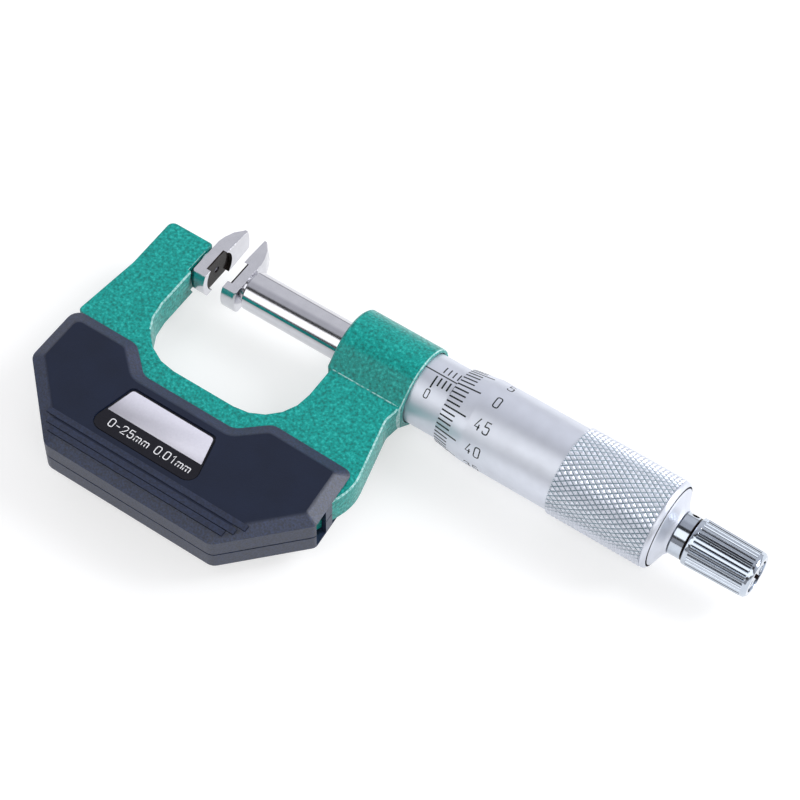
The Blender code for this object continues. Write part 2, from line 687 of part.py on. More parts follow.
def build_screw(carrier, steel):
    """The measuring screw, with the flange that the spindle's socket holds."""
    nose = SPINDLE_END - SOCKET_DEPTH + 2 * THRUST_BALL_RADIUS + 2 * SEAT
    flange = 1.2 * MM
    thread_start = SPINDLE_END + SEAT - nose
    shoulder = WEB_START + SEAT - nose
    tail = WEB_END - SEAT - nose
    return turned("measuring_screw", carrier, nose, [
        (0.0, 0.0),
        (0.0, SOCKET_RADIUS - 2 * SEAT),
        (flange, SOCKET_RADIUS - 2 * SEAT),
        (flange, SHAFT_RADIUS),
        (thread_start, SHAFT_RADIUS),
        (thread_start, SCREW_RADIUS - 0.3 * MM),
        (thread_start + 0.3 * MM, SCREW_RADIUS),
        (shoulder, SCREW_RADIUS),
        (shoulder, SCREW_SHOULDER_RADIUS - 0.15 * MM),
        (tail, SCREW_SHOULDER_RADIUS),
        (tail, SHAFT_RADIUS + 2 * SEAT),
        (tail - 9 * MM, SHAFT_RADIUS + 2 * SEAT),
        (tail - 9 * MM, 0.0),
    ], steel, SMALL_SEGMENTS)


def build_spindle_coupling(carrier, steel):
    """The ball that takes the thrust and the nut that pulls the spindle back."""
    ball_x = SPINDLE_END - SOCKET_DEPTH + SEAT + THRUST_BALL_RADIUS
    shape = bmesh.new()
    bmesh.ops.create_uvsphere(shape, u_segments=16, v_segments=10,
                              radius=THRUST_BALL_RADIUS)
    ball = finish("thrust_ball", shape, carrier, (ball_x, 0.0, 0.0), steel)
    start = ball_x + THRUST_BALL_RADIUS + 2 * SEAT + 1.2 * MM
    nut = tube("coupling_nut", carrier, start, SPINDLE_END - SEAT,
               SHAFT_RADIUS + SEAT, SOCKET_RADIUS - SEAT, steel, SMALL_SEGMENTS)
    return ball, nut


def build_thimble(carrier, surface):
    bore = SLEEVE_RADIUS + RUN
    lip = 0.4 * MM
    web_bore = SCREW_SHOULDER_RADIUS + SEAT
    stations = [
        (THIMBLE_START, bore),
        (THIMBLE_START, THIMBLE_EDGE_RADIUS),
        (THIMBLE_START + THIMBLE_BEVEL, THIMBLE_RADIUS),
        (KNURL_START, THIMBLE_RADIUS),
        (KNURL_START + 0.1 * MM, KNURL_RADIUS),
        (THIMBLE_END - 0.9 * MM, KNURL_RADIUS),
        (THIMBLE_END - 0.25 * MM, KNURL_RADIUS - 0.3 * MM),
        (THIMBLE_END, KNURL_RADIUS - 0.6 * MM),
        (THIMBLE_END - lip, CAP_RADIUS + SEAT),
        (WEB_END, CAP_RADIUS + SEAT),
        (WEB_END, web_bore),
        (WEB_START, web_bore),
        (WEB_START, bore),
    ]
    profile = [(x - THIMBLE_START, radius) for x, radius in stations]
    return turned("thimble", carrier, THIMBLE_START, profile, surface)


def build_cap(carrier, surface):
    """The coned cap that closes the thimble, with a small fillet at its nose."""
    bore = BASE_NECK_RADIUS - 0.9 * MM
    start = WEB_END + SEAT
    rim = THIMBLE_END - 0.3 * MM
    profile = [
        (0.0, bore),
        (0.0, CAP_RADIUS),
        (rim - start, CAP_RADIUS),
    ]
    steps = 3
    for step in range(1, steps + 1):
        share = step / steps
        radius = CAP_RADIUS + (BASE_NECK_RADIUS + 0.2 * MM - CAP_RADIUS) * share
        rise = (CAP_NOSE - rim) * share ** 1.5
        profile.append((rim - start + rise, radius))
    profile.append((CAP_NOSE - start, bore))
    return turned("thimble_cap", carrier, start, profile, surface)


def toothed_ring(name, parent, station, inner, outer, thickness, surface, facing, phase=0.0):
    """A ring with saw teeth like a crown ratchet, on the face that looks along facing * X."""
    rings = []
    for tooth in range(TEETH):
        for share, height in ((0.0, 0.0), (0.5, 0.5), (0.97, 1.0)):
            angle = math.tau * (tooth + share + phase) / TEETH
            face = facing * height * TOOTH_HEIGHT
            back = -facing * thickness
            ray = (math.cos(angle), math.sin(angle))
            corners = ((face, inner), (face, outer), (back, outer), (back, inner))
            rings.append([(x, ray[0] * radius, ray[1] * radius) for x, radius in corners])
    shape = bmesh.new()
    loops = [[shape.verts.new(point) for point in ring] for ring in rings]
    for index, loop in enumerate(loops):
        ahead = loops[(index + 1) % len(loops)]
        for side in range(4):
            nxt = (side + 1) % 4
            shape.faces.new((loop[side], loop[nxt], ahead[nxt], ahead[side]))
    return finish(name, shape, parent, (station, 0.0, 0.0), surface)


def build_ratchet_base(carrier, steel):
    """The shaft that drives the screw; the knob slips round its toothed neck."""
    stud_start = WEB_END - 8 * MM
    bore = BASE_NECK_RADIUS - 0.9 * MM
    neck_start = CAP_NOSE + SEAT
    neck_end = KNOB_START - 0.3 * MM
    tooth_face = neck_end + 0.5 * MM
    shaft_end = KNOB_START + KNOB_CAVITY_DEPTH + KNOB_WEB + SEAT
    tap = SHAFT_RADIUS - 0.5 * MM
    stations = [
        (stud_start, 0.0),
        (stud_start, SHAFT_RADIUS),
        (WEB_END + SEAT, SHAFT_RADIUS),
        (WEB_END + SEAT, bore - SEAT),
        (neck_start, bore - SEAT),
        (neck_start, BASE_NECK_RADIUS),
        (neck_end, BASE_NECK_RADIUS),
        (neck_end, KNOB_CAVITY - SEAT),
        (tooth_face, KNOB_CAVITY - SEAT),
        (tooth_face, SHAFT_RADIUS),
        (shaft_end, SHAFT_RADIUS),
        (shaft_end, tap),
        (shaft_end - 5 * MM, tap),
        (shaft_end - 5 * MM, 0.0),
    ]
    profile = [(x - stud_start, radius) for x, radius in stations]
    base = turned("ratchet_base", carrier, stud_start, profile, steel, SMALL_SEGMENTS)
    ring = toothed_ring("base_teeth", carrier, tooth_face + 0.02 * MM, SHAFT_RADIUS - 0.2 * MM,
                        KNOB_CAVITY - SEAT - 0.1 * MM, 0.2 * MM, None, 1)
    combine(base, ring, "UNION")
    hole = cylinder("spanner_hole", carrier, (neck_start + SPANNER_HOLE_X, 0, 0), "Z",
                    SPANNER_HOLE_RADIUS, 4 * BASE_NECK_RADIUS, SMALL_SEGMENTS // 2)
    hole.rotation_euler = (-SPANNER_HOLE_TURN, 0.0, 0.0)
    combine(base, hole)
    return base


def build_knob(carrier, surface):
    """The fluted knob: its section is a circle with grooves, lofted along X."""
    def section(x, radius, depth):
        ring = []
        for flute in range(FLUTES):
            for share, sink in ((0.0, 0.0), (0.5, 0.0), (0.75, 1.0)):
                angle = math.tau * (flute + share) / FLUTES
                reach = radius - depth * sink
                ring.append((x, math.cos(angle) * reach, math.sin(angle) * reach))
        return ring

    length = KNOB_END - KNOB_START
    chamfer = 0.5 * MM
    taper_end = length - 1.1 * MM
    rings = [
        section(0.0, KNOB_RADIUS - 0.15 * MM, 0.0),
        section(0.15 * MM, KNOB_RADIUS, 0.0),
        section(KNOB_COLLAR, KNOB_RADIUS, 0.0),
        section(KNOB_COLLAR + 0.05 * MM, KNOB_RADIUS, FLUTE_DEPTH),
        section(taper_end, KNOB_END_RADIUS, FLUTE_DEPTH),
        section(taper_end + 0.05 * MM, KNOB_END_RADIUS, 0.0),
        section(length - chamfer, KNOB_END_RADIUS - 0.05 * MM, 0.0),
        section(length, KNOB_END_RADIUS - chamfer, 0.0),
    ]
    knob = lofted("ratchet_knob", carrier, rings, surface, (KNOB_START, 0.0, 0.0))
    web_end = KNOB_CAVITY_DEPTH + KNOB_WEB
    room = turned("knob_room", carrier, KNOB_START, [
        (-1 * MM, 0.0),
        (-1 * MM, KNOB_CAVITY),
        (KNOB_CAVITY_DEPTH, KNOB_CAVITY),
        (KNOB_CAVITY_DEPTH, SHAFT_RADIUS + SEAT),
        (web_end, SHAFT_RADIUS + SEAT),
        (web_end, END_SCREW_RADIUS + SEAT),
        (length + 1 * MM, END_SCREW_RADIUS + SEAT),
        (length + 1 * MM, 0.0),
    ], None, SMALL_SEGMENTS)
    combine(knob, room)
    return knob


def build_ratchet_parts(carrier, steel):
    disc_at = KNOB_START - 0.3 * MM + 0.5 * MM + 2 * TOOTH_HEIGHT + SEAT
    disc = toothed_ring("ratchet_disc", carrier, disc_at, SHAFT_RADIUS + SEAT,
                        KNOB_CAVITY - SEAT, 1.3 * MM, steel, -1)
    turns = 4
    wire = 0.25 * MM
    radius = (SHAFT_RADIUS + KNOB_CAVITY) / 2
    start = disc_at + 1.3 * MM + SEAT + wire
    end = KNOB_START + KNOB_CAVITY_DEPTH - SEAT - wire
    steps = turns * 10
    rings = []
    for step in range(steps + 1):
        angle = math.tau * turns * step / steps
        ray = Vector((0.0, math.cos(angle), math.sin(angle)))
        centre = ray * radius + Vector(((end - start) * step / steps, 0.0, 0.0))
        ring = []
        for side in range(5):
            turn = math.tau * side / 5
            ring.append(centre + ray * (wire * math.cos(turn))
                        + Vector((wire * math.sin(turn), 0.0, 0.0)))
        rings.append(ring)
    spring = lofted("ratchet_spring", carrier, rings, steel, (start, 0.0, 0.0))
    return disc, spring


def build_end_screw(carrier, surface):
    """The screw with two spanner holes that keeps the knob on its shaft."""
    web_end = KNOB_START + KNOB_CAVITY_DEPTH + KNOB_WEB
    head_start = web_end + 2 * SEAT
    head_end = KNOB_END - 0.15 * MM
    shank = 4 * MM
    shank_radius = SHAFT_RADIUS - 0.5 * MM - SEAT + 0.05 * MM
    screw = turned("ratchet_screw", carrier, head_start - shank, [
        (0.0, 0.0),
        (0.0, shank_radius),
        (shank, shank_radius),
        (shank, END_SCREW_RADIUS),
        (head_end - head_start + shank - 0.2 * MM, END_SCREW_RADIUS),
        (head_end - head_start + shank, END_SCREW_RADIUS - 0.2 * MM),
        (head_end - head_start + shank, 0.0),
    ], surface, SMALL_SEGMENTS)
    for index, y in enumerate((-1.9 * MM, 0.0, 1.9 * MM)):
        combine(screw, cylinder("spanner_%d" % index, carrier, (head_end, y, 0), "X",
                                0.4 * MM, 2 * MM, SMALL_SEGMENTS // 2))
    return screw


def main():
    clear_scene()
    paint = material("green_paint", (0.015, 0.33, 0.28), 0.35, 0.0)
    plastic_front = material("front_plastic", (0.022, 0.032, 0.055), 0.6, 0.0)
    plastic_rear = material("rear_plastic", (0.022, 0.032, 0.055), 0.6, 0.0)
    label = material("label_print", (0.62, 0.62, 0.68), 0.4, 0.3)
    satin = material("satin_chrome", (0.72, 0.74, 0.78), 0.38, 1.0)
    ground = material("ground_steel", (0.68, 0.69, 0.72), 0.16, 1.0)
    dark_steel = material("dark_steel", (0.12, 0.12, 0.13), 0.4, 1.0)
    brass = material("nut_brass", (0.62, 0.45, 0.2), 0.35, 1.0)

    x_low = COVER_LEFT
    x_high = KNOB_END
    y_low = COVER_BOTTOM
    y_high = BEAK_RADIUS
    root = empty("micrometer", None, (-(x_low + x_high) / 2, -(y_low + y_high) / 2, KNURL_RADIUS))
    spindle_carrier = empty("spindle_travel", root)
    thimble_carrier = empty("thimble_turn", spindle_carrier)
    knob_carrier = empty("ratchet_turn", thimble_carrier)

    build_frame(root, paint)
    build_front_cover(root, plastic_front)
    build_rear_cover(root, plastic_rear)
    build_label(root, label)
    for index, x in enumerate(PEG_XS, 1):
        build_cover_screw(root, index, x, dark_steel)
    build_jaw("fixed_jaw", root, (0.0, 0.0, 0.0), ground)
    build_key(root, dark_steel)
    build_sleeves(root, satin, brass)
    build_adjusting_nut(root, dark_steel)

    build_spindle(spindle_carrier, ground)
    moving = build_jaw("moving_jaw", spindle_carrier, (READING, 0.0, 0.0), ground)
    moving.rotation_euler = (0.0, math.pi, 0.0)
    build_spindle_coupling(spindle_carrier, ground)

    build_screw(thimble_carrier, ground)
    build_thimble(thimble_carrier, satin)
    build_cap(thimble_carrier, satin)
    build_ratchet_base(thimble_carrier, satin)
    build_end_screw(thimble_carrier, satin)

    build_knob(knob_carrier, satin)
    build_ratchet_parts(knob_carrier, ground)


main()
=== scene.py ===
"""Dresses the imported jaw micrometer: paint, chrome, knurling, scales, label and studio.

Laid out as an add-on, with one operator for each piece or group of like pieces. Lengths
in the code are metres; MM turns the drawing's millimetres into metres. Places are measured
from the fixed jaw's measuring face along the spindle, and from the spindle's axis in y and z.
"""

import math
from contextlib import contextmanager

import bpy
from bpy.props import FloatProperty, FloatVectorProperty, IntProperty, PointerProperty
from bpy.types import NodeSocket, Operator, Panel, PropertyGroup
from mathutils import Euler, Matrix, Vector


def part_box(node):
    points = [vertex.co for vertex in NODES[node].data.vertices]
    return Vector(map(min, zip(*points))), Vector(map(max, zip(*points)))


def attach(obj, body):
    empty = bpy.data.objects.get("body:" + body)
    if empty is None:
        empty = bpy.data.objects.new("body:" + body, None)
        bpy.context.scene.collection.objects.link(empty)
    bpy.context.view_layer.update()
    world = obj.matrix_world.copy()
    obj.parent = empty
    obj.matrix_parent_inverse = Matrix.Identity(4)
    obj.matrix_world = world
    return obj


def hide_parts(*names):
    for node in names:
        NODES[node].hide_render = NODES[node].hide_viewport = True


bl_info = {
    "name": "Jaw micrometer finish",
    "version": (1, 0, 0),
    "blender": (4, 5, 0),
    "location": "View3D > Sidebar > Micrometer",
    "description": "Finishes, scales, knurling, label and studio for a jaw micrometer",
    "category": "Object",
}

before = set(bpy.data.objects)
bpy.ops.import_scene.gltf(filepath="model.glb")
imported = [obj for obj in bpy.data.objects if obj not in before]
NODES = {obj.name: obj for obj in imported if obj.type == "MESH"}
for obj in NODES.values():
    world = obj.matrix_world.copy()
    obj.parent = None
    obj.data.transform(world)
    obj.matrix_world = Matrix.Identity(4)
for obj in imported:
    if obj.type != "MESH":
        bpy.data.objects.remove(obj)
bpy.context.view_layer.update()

MM = 0.001
MERGE = 0.0005 * MM
FACE_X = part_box("fixed_jaw")[1].x
THIMBLE_LOW, THIMBLE_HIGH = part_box("thimble")
AXIS_Y = (THIMBLE_LOW.y + THIMBLE_HIGH.y) / 2
AXIS_Z = (THIMBLE_LOW.z + THIMBLE_HIGH.z) / 2
GRIP_RADIUS = (THIMBLE_HIGH.z - THIMBLE_LOW.z) / 2
EDGE_X = THIMBLE_LOW.x - FACE_X
SLEEVE_LOW, SLEEVE_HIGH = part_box("sleeve")
SLEEVE_RADIUS = (SLEEVE_HIGH.z - SLEEVE_LOW.z) / 2
COVER_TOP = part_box("front_cover")[1].z - AXIS_Z
LABEL_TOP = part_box("label_plate")[1].z
END_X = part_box("ratchet_screw")[1].x - FACE_X

# Frame: the hub's end, the crease under the hub, and the edges; the hub's rim and the throat's
# and shoulder's edges get a painted highlight in pale enamel, and so does the crease's bead
HUB_END = 47.1 * MM
HUB_RIM = (HUB_END - 0.3 * MM, HUB_END - 0.06 * MM)
HUB_RIM_RADIUS = 9.2 * MM
FOLD_X = (32.0 * MM, 46.4 * MM)
FOLD_Y, FOLD_Z = -8.19 * MM, 3.3 * MM
FOLD_RADIUS = 0.13 * MM
EDGE_HIGHLIGHT_Z = (2.98 * MM, 3.27 * MM)
THROAT_X, THROAT_Y = (-8.0 * MM, 1.2 * MM), (-20.0 * MM, 0.5 * MM)
SHOULDER_X, SHOULDER_Y = 44.5 * MM, -8.6 * MM

# Covers: each rib's start, stop and crest in millimetres
RIB_LINES = ((-4.6, 39.7, -45.45), (-3.3, 38.4, -47.15), (-1.9, 36.9, -48.55))
RIB_WIDTH = 0.62 * MM
RIB_HEIGHT = 0.12 * MM
RIB_RUN_OUT = 2.0 * MM

# Label: each word with its middle and the gap between its letters
LABEL_WORDS = (("0-25mm", 10.5 * MM, 0.53 * MM), ("0.01mm", 20.3 * MM, 0.42 * MM))
LABEL_WORDS_Y = -41.2 * MM
LABEL_DIVIDER_Y = -39.25 * MM

# Scales: lines and figures stand a little proud of the metal, and the widths of the
# half lines and of the thimble's are shares of the millimetre lines'
READING = 4.0 * MM
INK_PROUD = 0.012 * MM
INK_DEPTH = 0.05 * MM
SLEEVE_WALL = 1.5 * MM
SLEEVE_FIGURES_Y = -4.45 * MM
LINE_NEAR, LINE_HALF, LINE_SHORT, LINE_LONG = 0.57 * MM, 2.2 * MM, 2.35 * MM, 3.2 * MM
HALF_LINE_SHARE, THIMBLE_LINE_SHARE = 0.75, 0.93
THIMBLE_LINES = 50
THIMBLE_SHORT, THIMBLE_LONG = 2.95 * MM, 4.9 * MM
THIMBLE_FIGURES_X = 62.55 * MM
LABEL_STYLE = {"height": 1.65 * MM, "width": 0.98 * MM, "stroke": 0.2 * MM}
SLEEVE_STYLE = {"height": 1.7 * MM, "width": 0.8 * MM, "gap": 0.44 * MM, "stroke": 0.21 * MM}
THIMBLE_STYLE = {"height": 2.3 * MM, "width": 1.05 * MM, "gap": 0.75 * MM, "stroke": 0.25 * MM}

# Thimble: its turned profile and its cap's as (x, radius) in millimetres, and its grip,
# whose diamonds rise in steps of (share of the depth, share of the width kept)
THIMBLE_PROFILE = (
    (54.0, 7.35), (54.0, 7.5), (54.04, 7.55), (59.6, 8.387), (59.8, 8.4), (78.5, 8.4),
    (78.6, 8.45), (98.4, 8.45), (98.44, 8.72), (98.55, 8.78), (98.85, 8.7), (99.15, 8.5),
    (99.36, 8.25), (99.4, 8.15), (99.3, 8.06), (99.0, 8.05), (96.0, 8.05), (96.0, 4.25),
    (88.0, 4.25), (88.0, 7.35), (54.0, 7.35))
CAP_PROFILE = (
    (96.25, 3.3), (96.25, 7.8), (99.5, 7.8), (99.58, 7.72), (99.76, 7.3), (100.0, 6.6),
    (100.5, 5.5), (100.85, 4.85), (101.3, 4.4), (101.3, 3.3), (96.25, 3.3))
EDGE_RADIUS, BARREL_RADIUS, CONE_LENGTH = 7.55 * MM, 8.4 * MM, 5.7 * MM
THIMBLE_INSIDE = 7.4 * MM
GRIP_START = 78.65 * MM
GRIP_END = 98.3 * MM
KNURL_PITCHES = 11.5
KNURL_SPARE = 1.25
KNURL_SKIRT = 0.15 * MM
KNURL_STEPS = ((0.92, 0.16), (0.08, 0.4))
# Share of the knurl's depth beyond which the grooves get painted shade
KNURL_SHADE_SHARE = 0.84
# The gap before the cap, dark with painted shade and some grime
CAP_GAP_RADII = (7.7 * MM, 8.13 * MM)
CAP_GAP_X = (95.0 * MM, 99.48 * MM)

# Jaws: the relief round each beak's root, dark with painted shade and some grime
RELIEF_RADIUS = 4.02 * MM
RELIEF_DEPTH = (0.06 * MM, 1.0 * MM)

# Ratchet: spanner hole, gap before the knob, end screw's slot and ring, the knob's flutes;
# their hollows get painted shade and some grime
HOLE_X = 102.9 * MM
HOLE_RADIUS = 0.74 * MM
HOLE_TURN = math.radians(-46.0)
KNOB_GAP = (103.93 * MM, 104.46 * MM)
SLOT_TURN = math.radians(29.0)
SLOT_X = (END_X - 2.0 * MM, END_X - 0.03 * MM)
SLOT_SIZE = (1.0 * MM, 0.8 * MM, 12.0 * MM)
SLOT_DARK_HALF, SLOT_DARK_RADIUS = 0.42 * MM, 2.88 * MM
RING_X = (END_X - 3.0 * MM, END_X - 0.12 * MM)
RING_RADII = (2.85 * MM, 3.3 * MM)
FLUTES_X = (105.3 * MM, 116.2 * MM)
FLUTE_TAPER_X, FLUTE_TAPER = 105.35 * MM, 0.0174
FLUTE_INNER, FLUTE_BOTTOM = 4.0 * MM, 4.45 * MM

# Surroundings: bands of one colour, from the front over the top to the back, each with its
# start and stop as shares of the half turn round the spindle's axis
WORLD_STRENGTH = 0.93
WORLD_HORIZON = (0.3, 0.3, 0.31)
WORLD_BANDS = (
    (0.0, 0.125, (0.4, 0.4, 0.42)),
    (0.145, 0.2, (0.07, 0.068, 0.065)),
    (0.22, 0.42, (1.75, 1.75, 1.75)),
    (0.435, 0.52, (0.06, 0.06, 0.062)),
    (0.535, 0.67, (0.56, 0.565, 0.61)),
    (0.76, 1.0, (0.8, 0.805, 0.85)),
)
WORLD_LEAN, WORLD_LEAN_X = 0.2, (-0.4, -0.237)
WORLD_RISE_Z = (0.03, 0.15)

# Floor, then each lamp's name, place, size and power
FLOOR_SIZE, FLOOR_Z = 6.0, -0.0005
FLOOR_COLOUR = (0.5, 0.5, 0.5, 1.0)
FLOOR_GLOW = 0.58
WHITE = (1.0, 1.0, 1.0, 1.0)
LAMPS = (("key_softbox", (0.5, 0.5, 0.6), 0.4, 4.6),
         ("right_softbox", (0.8, 0.45, 0.3), 0.25, 1.6))
LAMP_COLOUR = (0.97, 0.98, 1.0)

# The photo's camera: its turn in degrees, and its place from the fixed jaw's face and the axis
CAMERA_TURN = (33.5314, -0.9796, 34.0449)
CAMERA_PLACE = (176.28 * MM, -210.77 * MM, 368.55 * MM)
CAMERA_LENS = 108.0

# Strokes of the engraved figures, as (x, y, rounding) in a box one wide and one high
FIGURES = {
    "0": (((0, 0, 0.42), (1, 0, 0.42), (1, 1, 0.42), (0, 1, 0.42)),),
    "1": (((0.2, 0.78, 0), (0.6, 1, 0), (0.6, 0, 0)),),
    "2": (((0, 0.76, 0), (0, 1, 0.42), (1, 1, 0.42), (1, 0.62, 0.3), (0, 0, 0), (1, 0, 0)),),
    "3": (((0, 0.86, 0), (0, 1, 0.3), (0.95, 1, 0.4), (0.95, 0.55, 0.35), (0.35, 0.55, 0)),
          ((0.35, 0.55, 0), (1, 0.55, 0.4), (1, 0, 0.42), (0, 0, 0.4), (0, 0.16, 0))),
    "4": (((0.62, 1, 0), (0, 0.26, 0), (1, 0.26, 0)), ((0.74, 0.5, 0), (0.74, 0, 0))),
    "5": (((0.94, 1, 0), (0.1, 1, 0), (0.05, 0.56, 0.1), (1, 0.64, 0.42), (1, 0, 0.42),
           (0, 0, 0.38), (0, 0.14, 0)),),
    "-": (((0, 0.48, 0), (1, 0.48, 0)),),
    ".": (((0.3, 0, 0), (0.7, 0, 0)),),
    "m": (((0, 0, 0), (0, 0.62, 0)),
          ((0, 0.3, 0), (0, 0.62, 0.2), (0.5, 0.62, 0.2), (0.5, 0, 0)),
          ((0.5, 0.3, 0), (0.5, 0.62, 0.2), (1, 0.62, 0.2), (1, 0, 0))),
}
CLOSED_FIGURES = "0"
FIGURE_WIDTHS = {"-": 0.8, ".": 0.2, "m": 1.25}
CORNER_STEPS = 5


# Mesh helpers

def deselect():
    """Leave nothing selected, because operators act on all that is selected."""
    if bpy.context.mode != "OBJECT":
        bpy.ops.object.mode_set(mode="OBJECT")
    bpy.ops.object.select_all(action="DESELECT")


def choose(*objects):
    """Select these objects alone and make the first one active."""
    deselect()
    for item in objects:
        item.select_set(True)
    bpy.context.view_layer.objects.active = objects[0]


@contextmanager
def editing(piece, kind=None, everything=True):
    """Edit one piece, with all of it selected or only what was selected before."""
    choose(piece)
    bpy.ops.object.mode_set(mode="EDIT")
    if kind:
        bpy.ops.mesh.select_mode(type=kind)
    if everything:
        bpy.ops.mesh.select_all(action="SELECT")
    yield
    bpy.ops.object.mode_set(mode="OBJECT")


def bisect(place, normal, **cut):
    """Cut the whole mesh that is being edited with a plane."""
    bpy.ops.mesh.select_all(action="SELECT")
    bpy.ops.mesh.bisect(plane_co=place, plane_no=normal, **cut)


def extrude(*step):
    """Extrude what is selected by a step."""
    bpy.ops.mesh.extrude_region_move(TRANSFORM_OT_translate={"value": step})


def settle(piece):
    """Put a piece's place, turn and scale into its mesh."""
    choose(piece)
    bpy.ops.object.transform_apply(location=True, rotation=True, scale=True)


def tidy_shell(piece, angle):
    """Merge doubles, turn faces outwards and shade smooth below an angle in degrees."""
    with editing(piece):
        bpy.ops.mesh.remove_doubles(threshold=MERGE)
        bpy.ops.mesh.normals_make_consistent(inside=False)
    bpy.ops.object.shade_smooth_by_angle(angle=math.radians(angle))


def apply_modifier(piece, kind, **values):
    """Add a modifier with these values and apply it."""
    choose(piece)
    change = piece.modifiers.new(kind.title(), kind)
    for key, value in values.items():
        setattr(change, key, value)
    bpy.ops.object.modifier_apply(modifier=change.name)


def copy_of(source, name, offset=(0.0, 0.0, 0.0)):
    """Copy an object with its own mesh, moved by an offset."""
    piece = bpy.data.objects.new(name, source.data.copy())
    bpy.context.scene.collection.objects.link(piece)
    piece.data.transform(Matrix.Translation(offset))
    return piece


def join(name, pieces):
    """Join pieces into the first and name it."""
    choose(*pieces)
    bpy.ops.object.join()
    pieces[0].name = name
    return pieces[0]


def dress(piece, body, slot, finish, *nodes):
    """Give a finished piece its material and its body, and hide the CAD nodes it replaces. The
    slot is not used.
    """
    piece.data.materials.clear()
    piece.data.materials.append(finish)
    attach(piece, body)
    if nodes:
        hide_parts(*nodes)


def skin_of(node, name, bevel=0.0, angle=30.0, segments=2):
    """Copy a CAD node's shape, merge it, round its sharp edges and smooth the rest."""
    piece = copy_of(NODES[node], name)
    with editing(piece):
        bpy.ops.mesh.remove_doubles(threshold=MERGE)
        bpy.ops.mesh.dissolve_limited(angle_limit=math.radians(0.5))
    if bevel:
        apply_modifier(piece, "BEVEL", width=bevel, segments=segments, limit_method="ANGLE",
                       angle_limit=math.radians(angle), use_clamp_overlap=True,
                       harden_normals=False)
    bpy.ops.object.shade_smooth_by_angle(angle=math.radians(35))
    apply_modifier(piece, "WEIGHTED_NORMAL", keep_sharp=True, weight=50)
    return piece


def box(name, middle, size, turn=0.0):
    """Add a block with this middle and size, turned about X."""
    deselect()
    bpy.ops.mesh.primitive_cube_add(size=1.0, location=middle)
    piece = bpy.context.object
    piece.name = name
    piece.scale = size
    piece.rotation_euler = (turn, 0.0, 0.0)
    settle(piece)
    return piece


def lathe(name, profile, angle=25.0):
    """Draw (x, radius) points by extruding one vertex, then spin them round the axis."""
    deselect()
    here_x, here_radius = profile[0]
    start = Vector((FACE_X + here_x, AXIS_Y, AXIS_Z + here_radius))
    bpy.ops.mesh.primitive_plane_add(size=MM, location=start)
    piece = bpy.context.object
    piece.name = name
    settle(piece)
    with editing(piece, "VERT"):
        bpy.ops.mesh.merge(type="CENTER")
        for x, radius in profile[1:]:
            extrude(x - here_x, 0.0, radius - here_radius)
            here_x, here_radius = x, radius
        bpy.ops.mesh.select_all(action="SELECT")
        bpy.ops.mesh.spin(steps=192, angle=math.tau, center=(0.0, AXIS_Y, AXIS_Z),
                          axis=(1.0, 0.0, 0.0))
    tidy_shell(piece, angle)
    return piece


def millimetres(profile):
    """Turn a drawing's profile into metres."""
    return [(x * MM, radius * MM) for x, radius in profile]


# Scales and figures, which are drawn flat and then bent onto a turned surface. In the flat
# art X is the place along the spindle, Y runs round the part from the datum line towards
# the jaws' tips, and Z is the height over the surface.

def bend(piece, radius_at, proud=0.0, start=0.0):
    """Bend flat art onto a turned surface, from a starting angle."""
    for vertex in piece.data.vertices:
        x, around, height = vertex.co
        radius = radius_at(x)
        turn = start + around / radius
        reach = radius + height + proud
        vertex.co = (FACE_X + x, AXIS_Y + math.sin(turn) * reach,
                     AXIS_Z + math.cos(turn) * reach)


def wrap(piece, radius, proud=0.0):
    """Cut flat art into narrow strips and bend it round a cylinder."""
    strip = 0.35 * MM
    low = min(vertex.co.y for vertex in piece.data.vertices)
    high = max(vertex.co.y for vertex in piece.data.vertices)
    with editing(piece):
        for index in range(math.floor(low / strip), math.ceil(high / strip) + 1):
            bisect((0.0, index * strip, 0.0), (0.0, 1.0, 0.0))
    bend(piece, lambda x: radius, proud)
    tidy_shell(piece, 30)


def flat_bar(name, x, y):
    """A thin bar in the flat art, given its (low, high) in x and in y."""
    middle = ((x[0] + x[1]) / 2, (y[0] + y[1]) / 2, 0.0)
    return box(name, middle, (abs(x[1] - x[0]), abs(y[1] - y[0]), INK_DEPTH))


def bar_row(name, x, width, y, steps):
    """A bar across the flat art at one x, joined with its copies at steps along x."""
    first = flat_bar(name, (x - width / 2, x + width / 2), y)
    copies = [copy_of(first, name, (step, 0.0, 0.0)) for step in steps]
    return join(name, [first, *copies])


def soft_corners(points, width, height):
    """Scale a stroke's points and turn each rounded corner into a short curve."""
    flat = [Vector((x * width, y * height)) for x, y, rounding in points]
    path = []
    for index, (x, y, rounding) in enumerate(points):
        corner = flat[index]
        if not rounding:
            path.append(corner)
            continue
        before, after = flat[index - 1], flat[(index + 1) % len(flat)]
        start = corner + (before - corner).normalized() * rounding * width
        stop = corner + (after - corner).normalized() * rounding * width
        for step in range(CORNER_STEPS + 1):
            t = step / CORNER_STEPS
            path.append(start * (1 - t) ** 2 + corner * 2 * t * (1 - t) + stop * t * t)
    return path


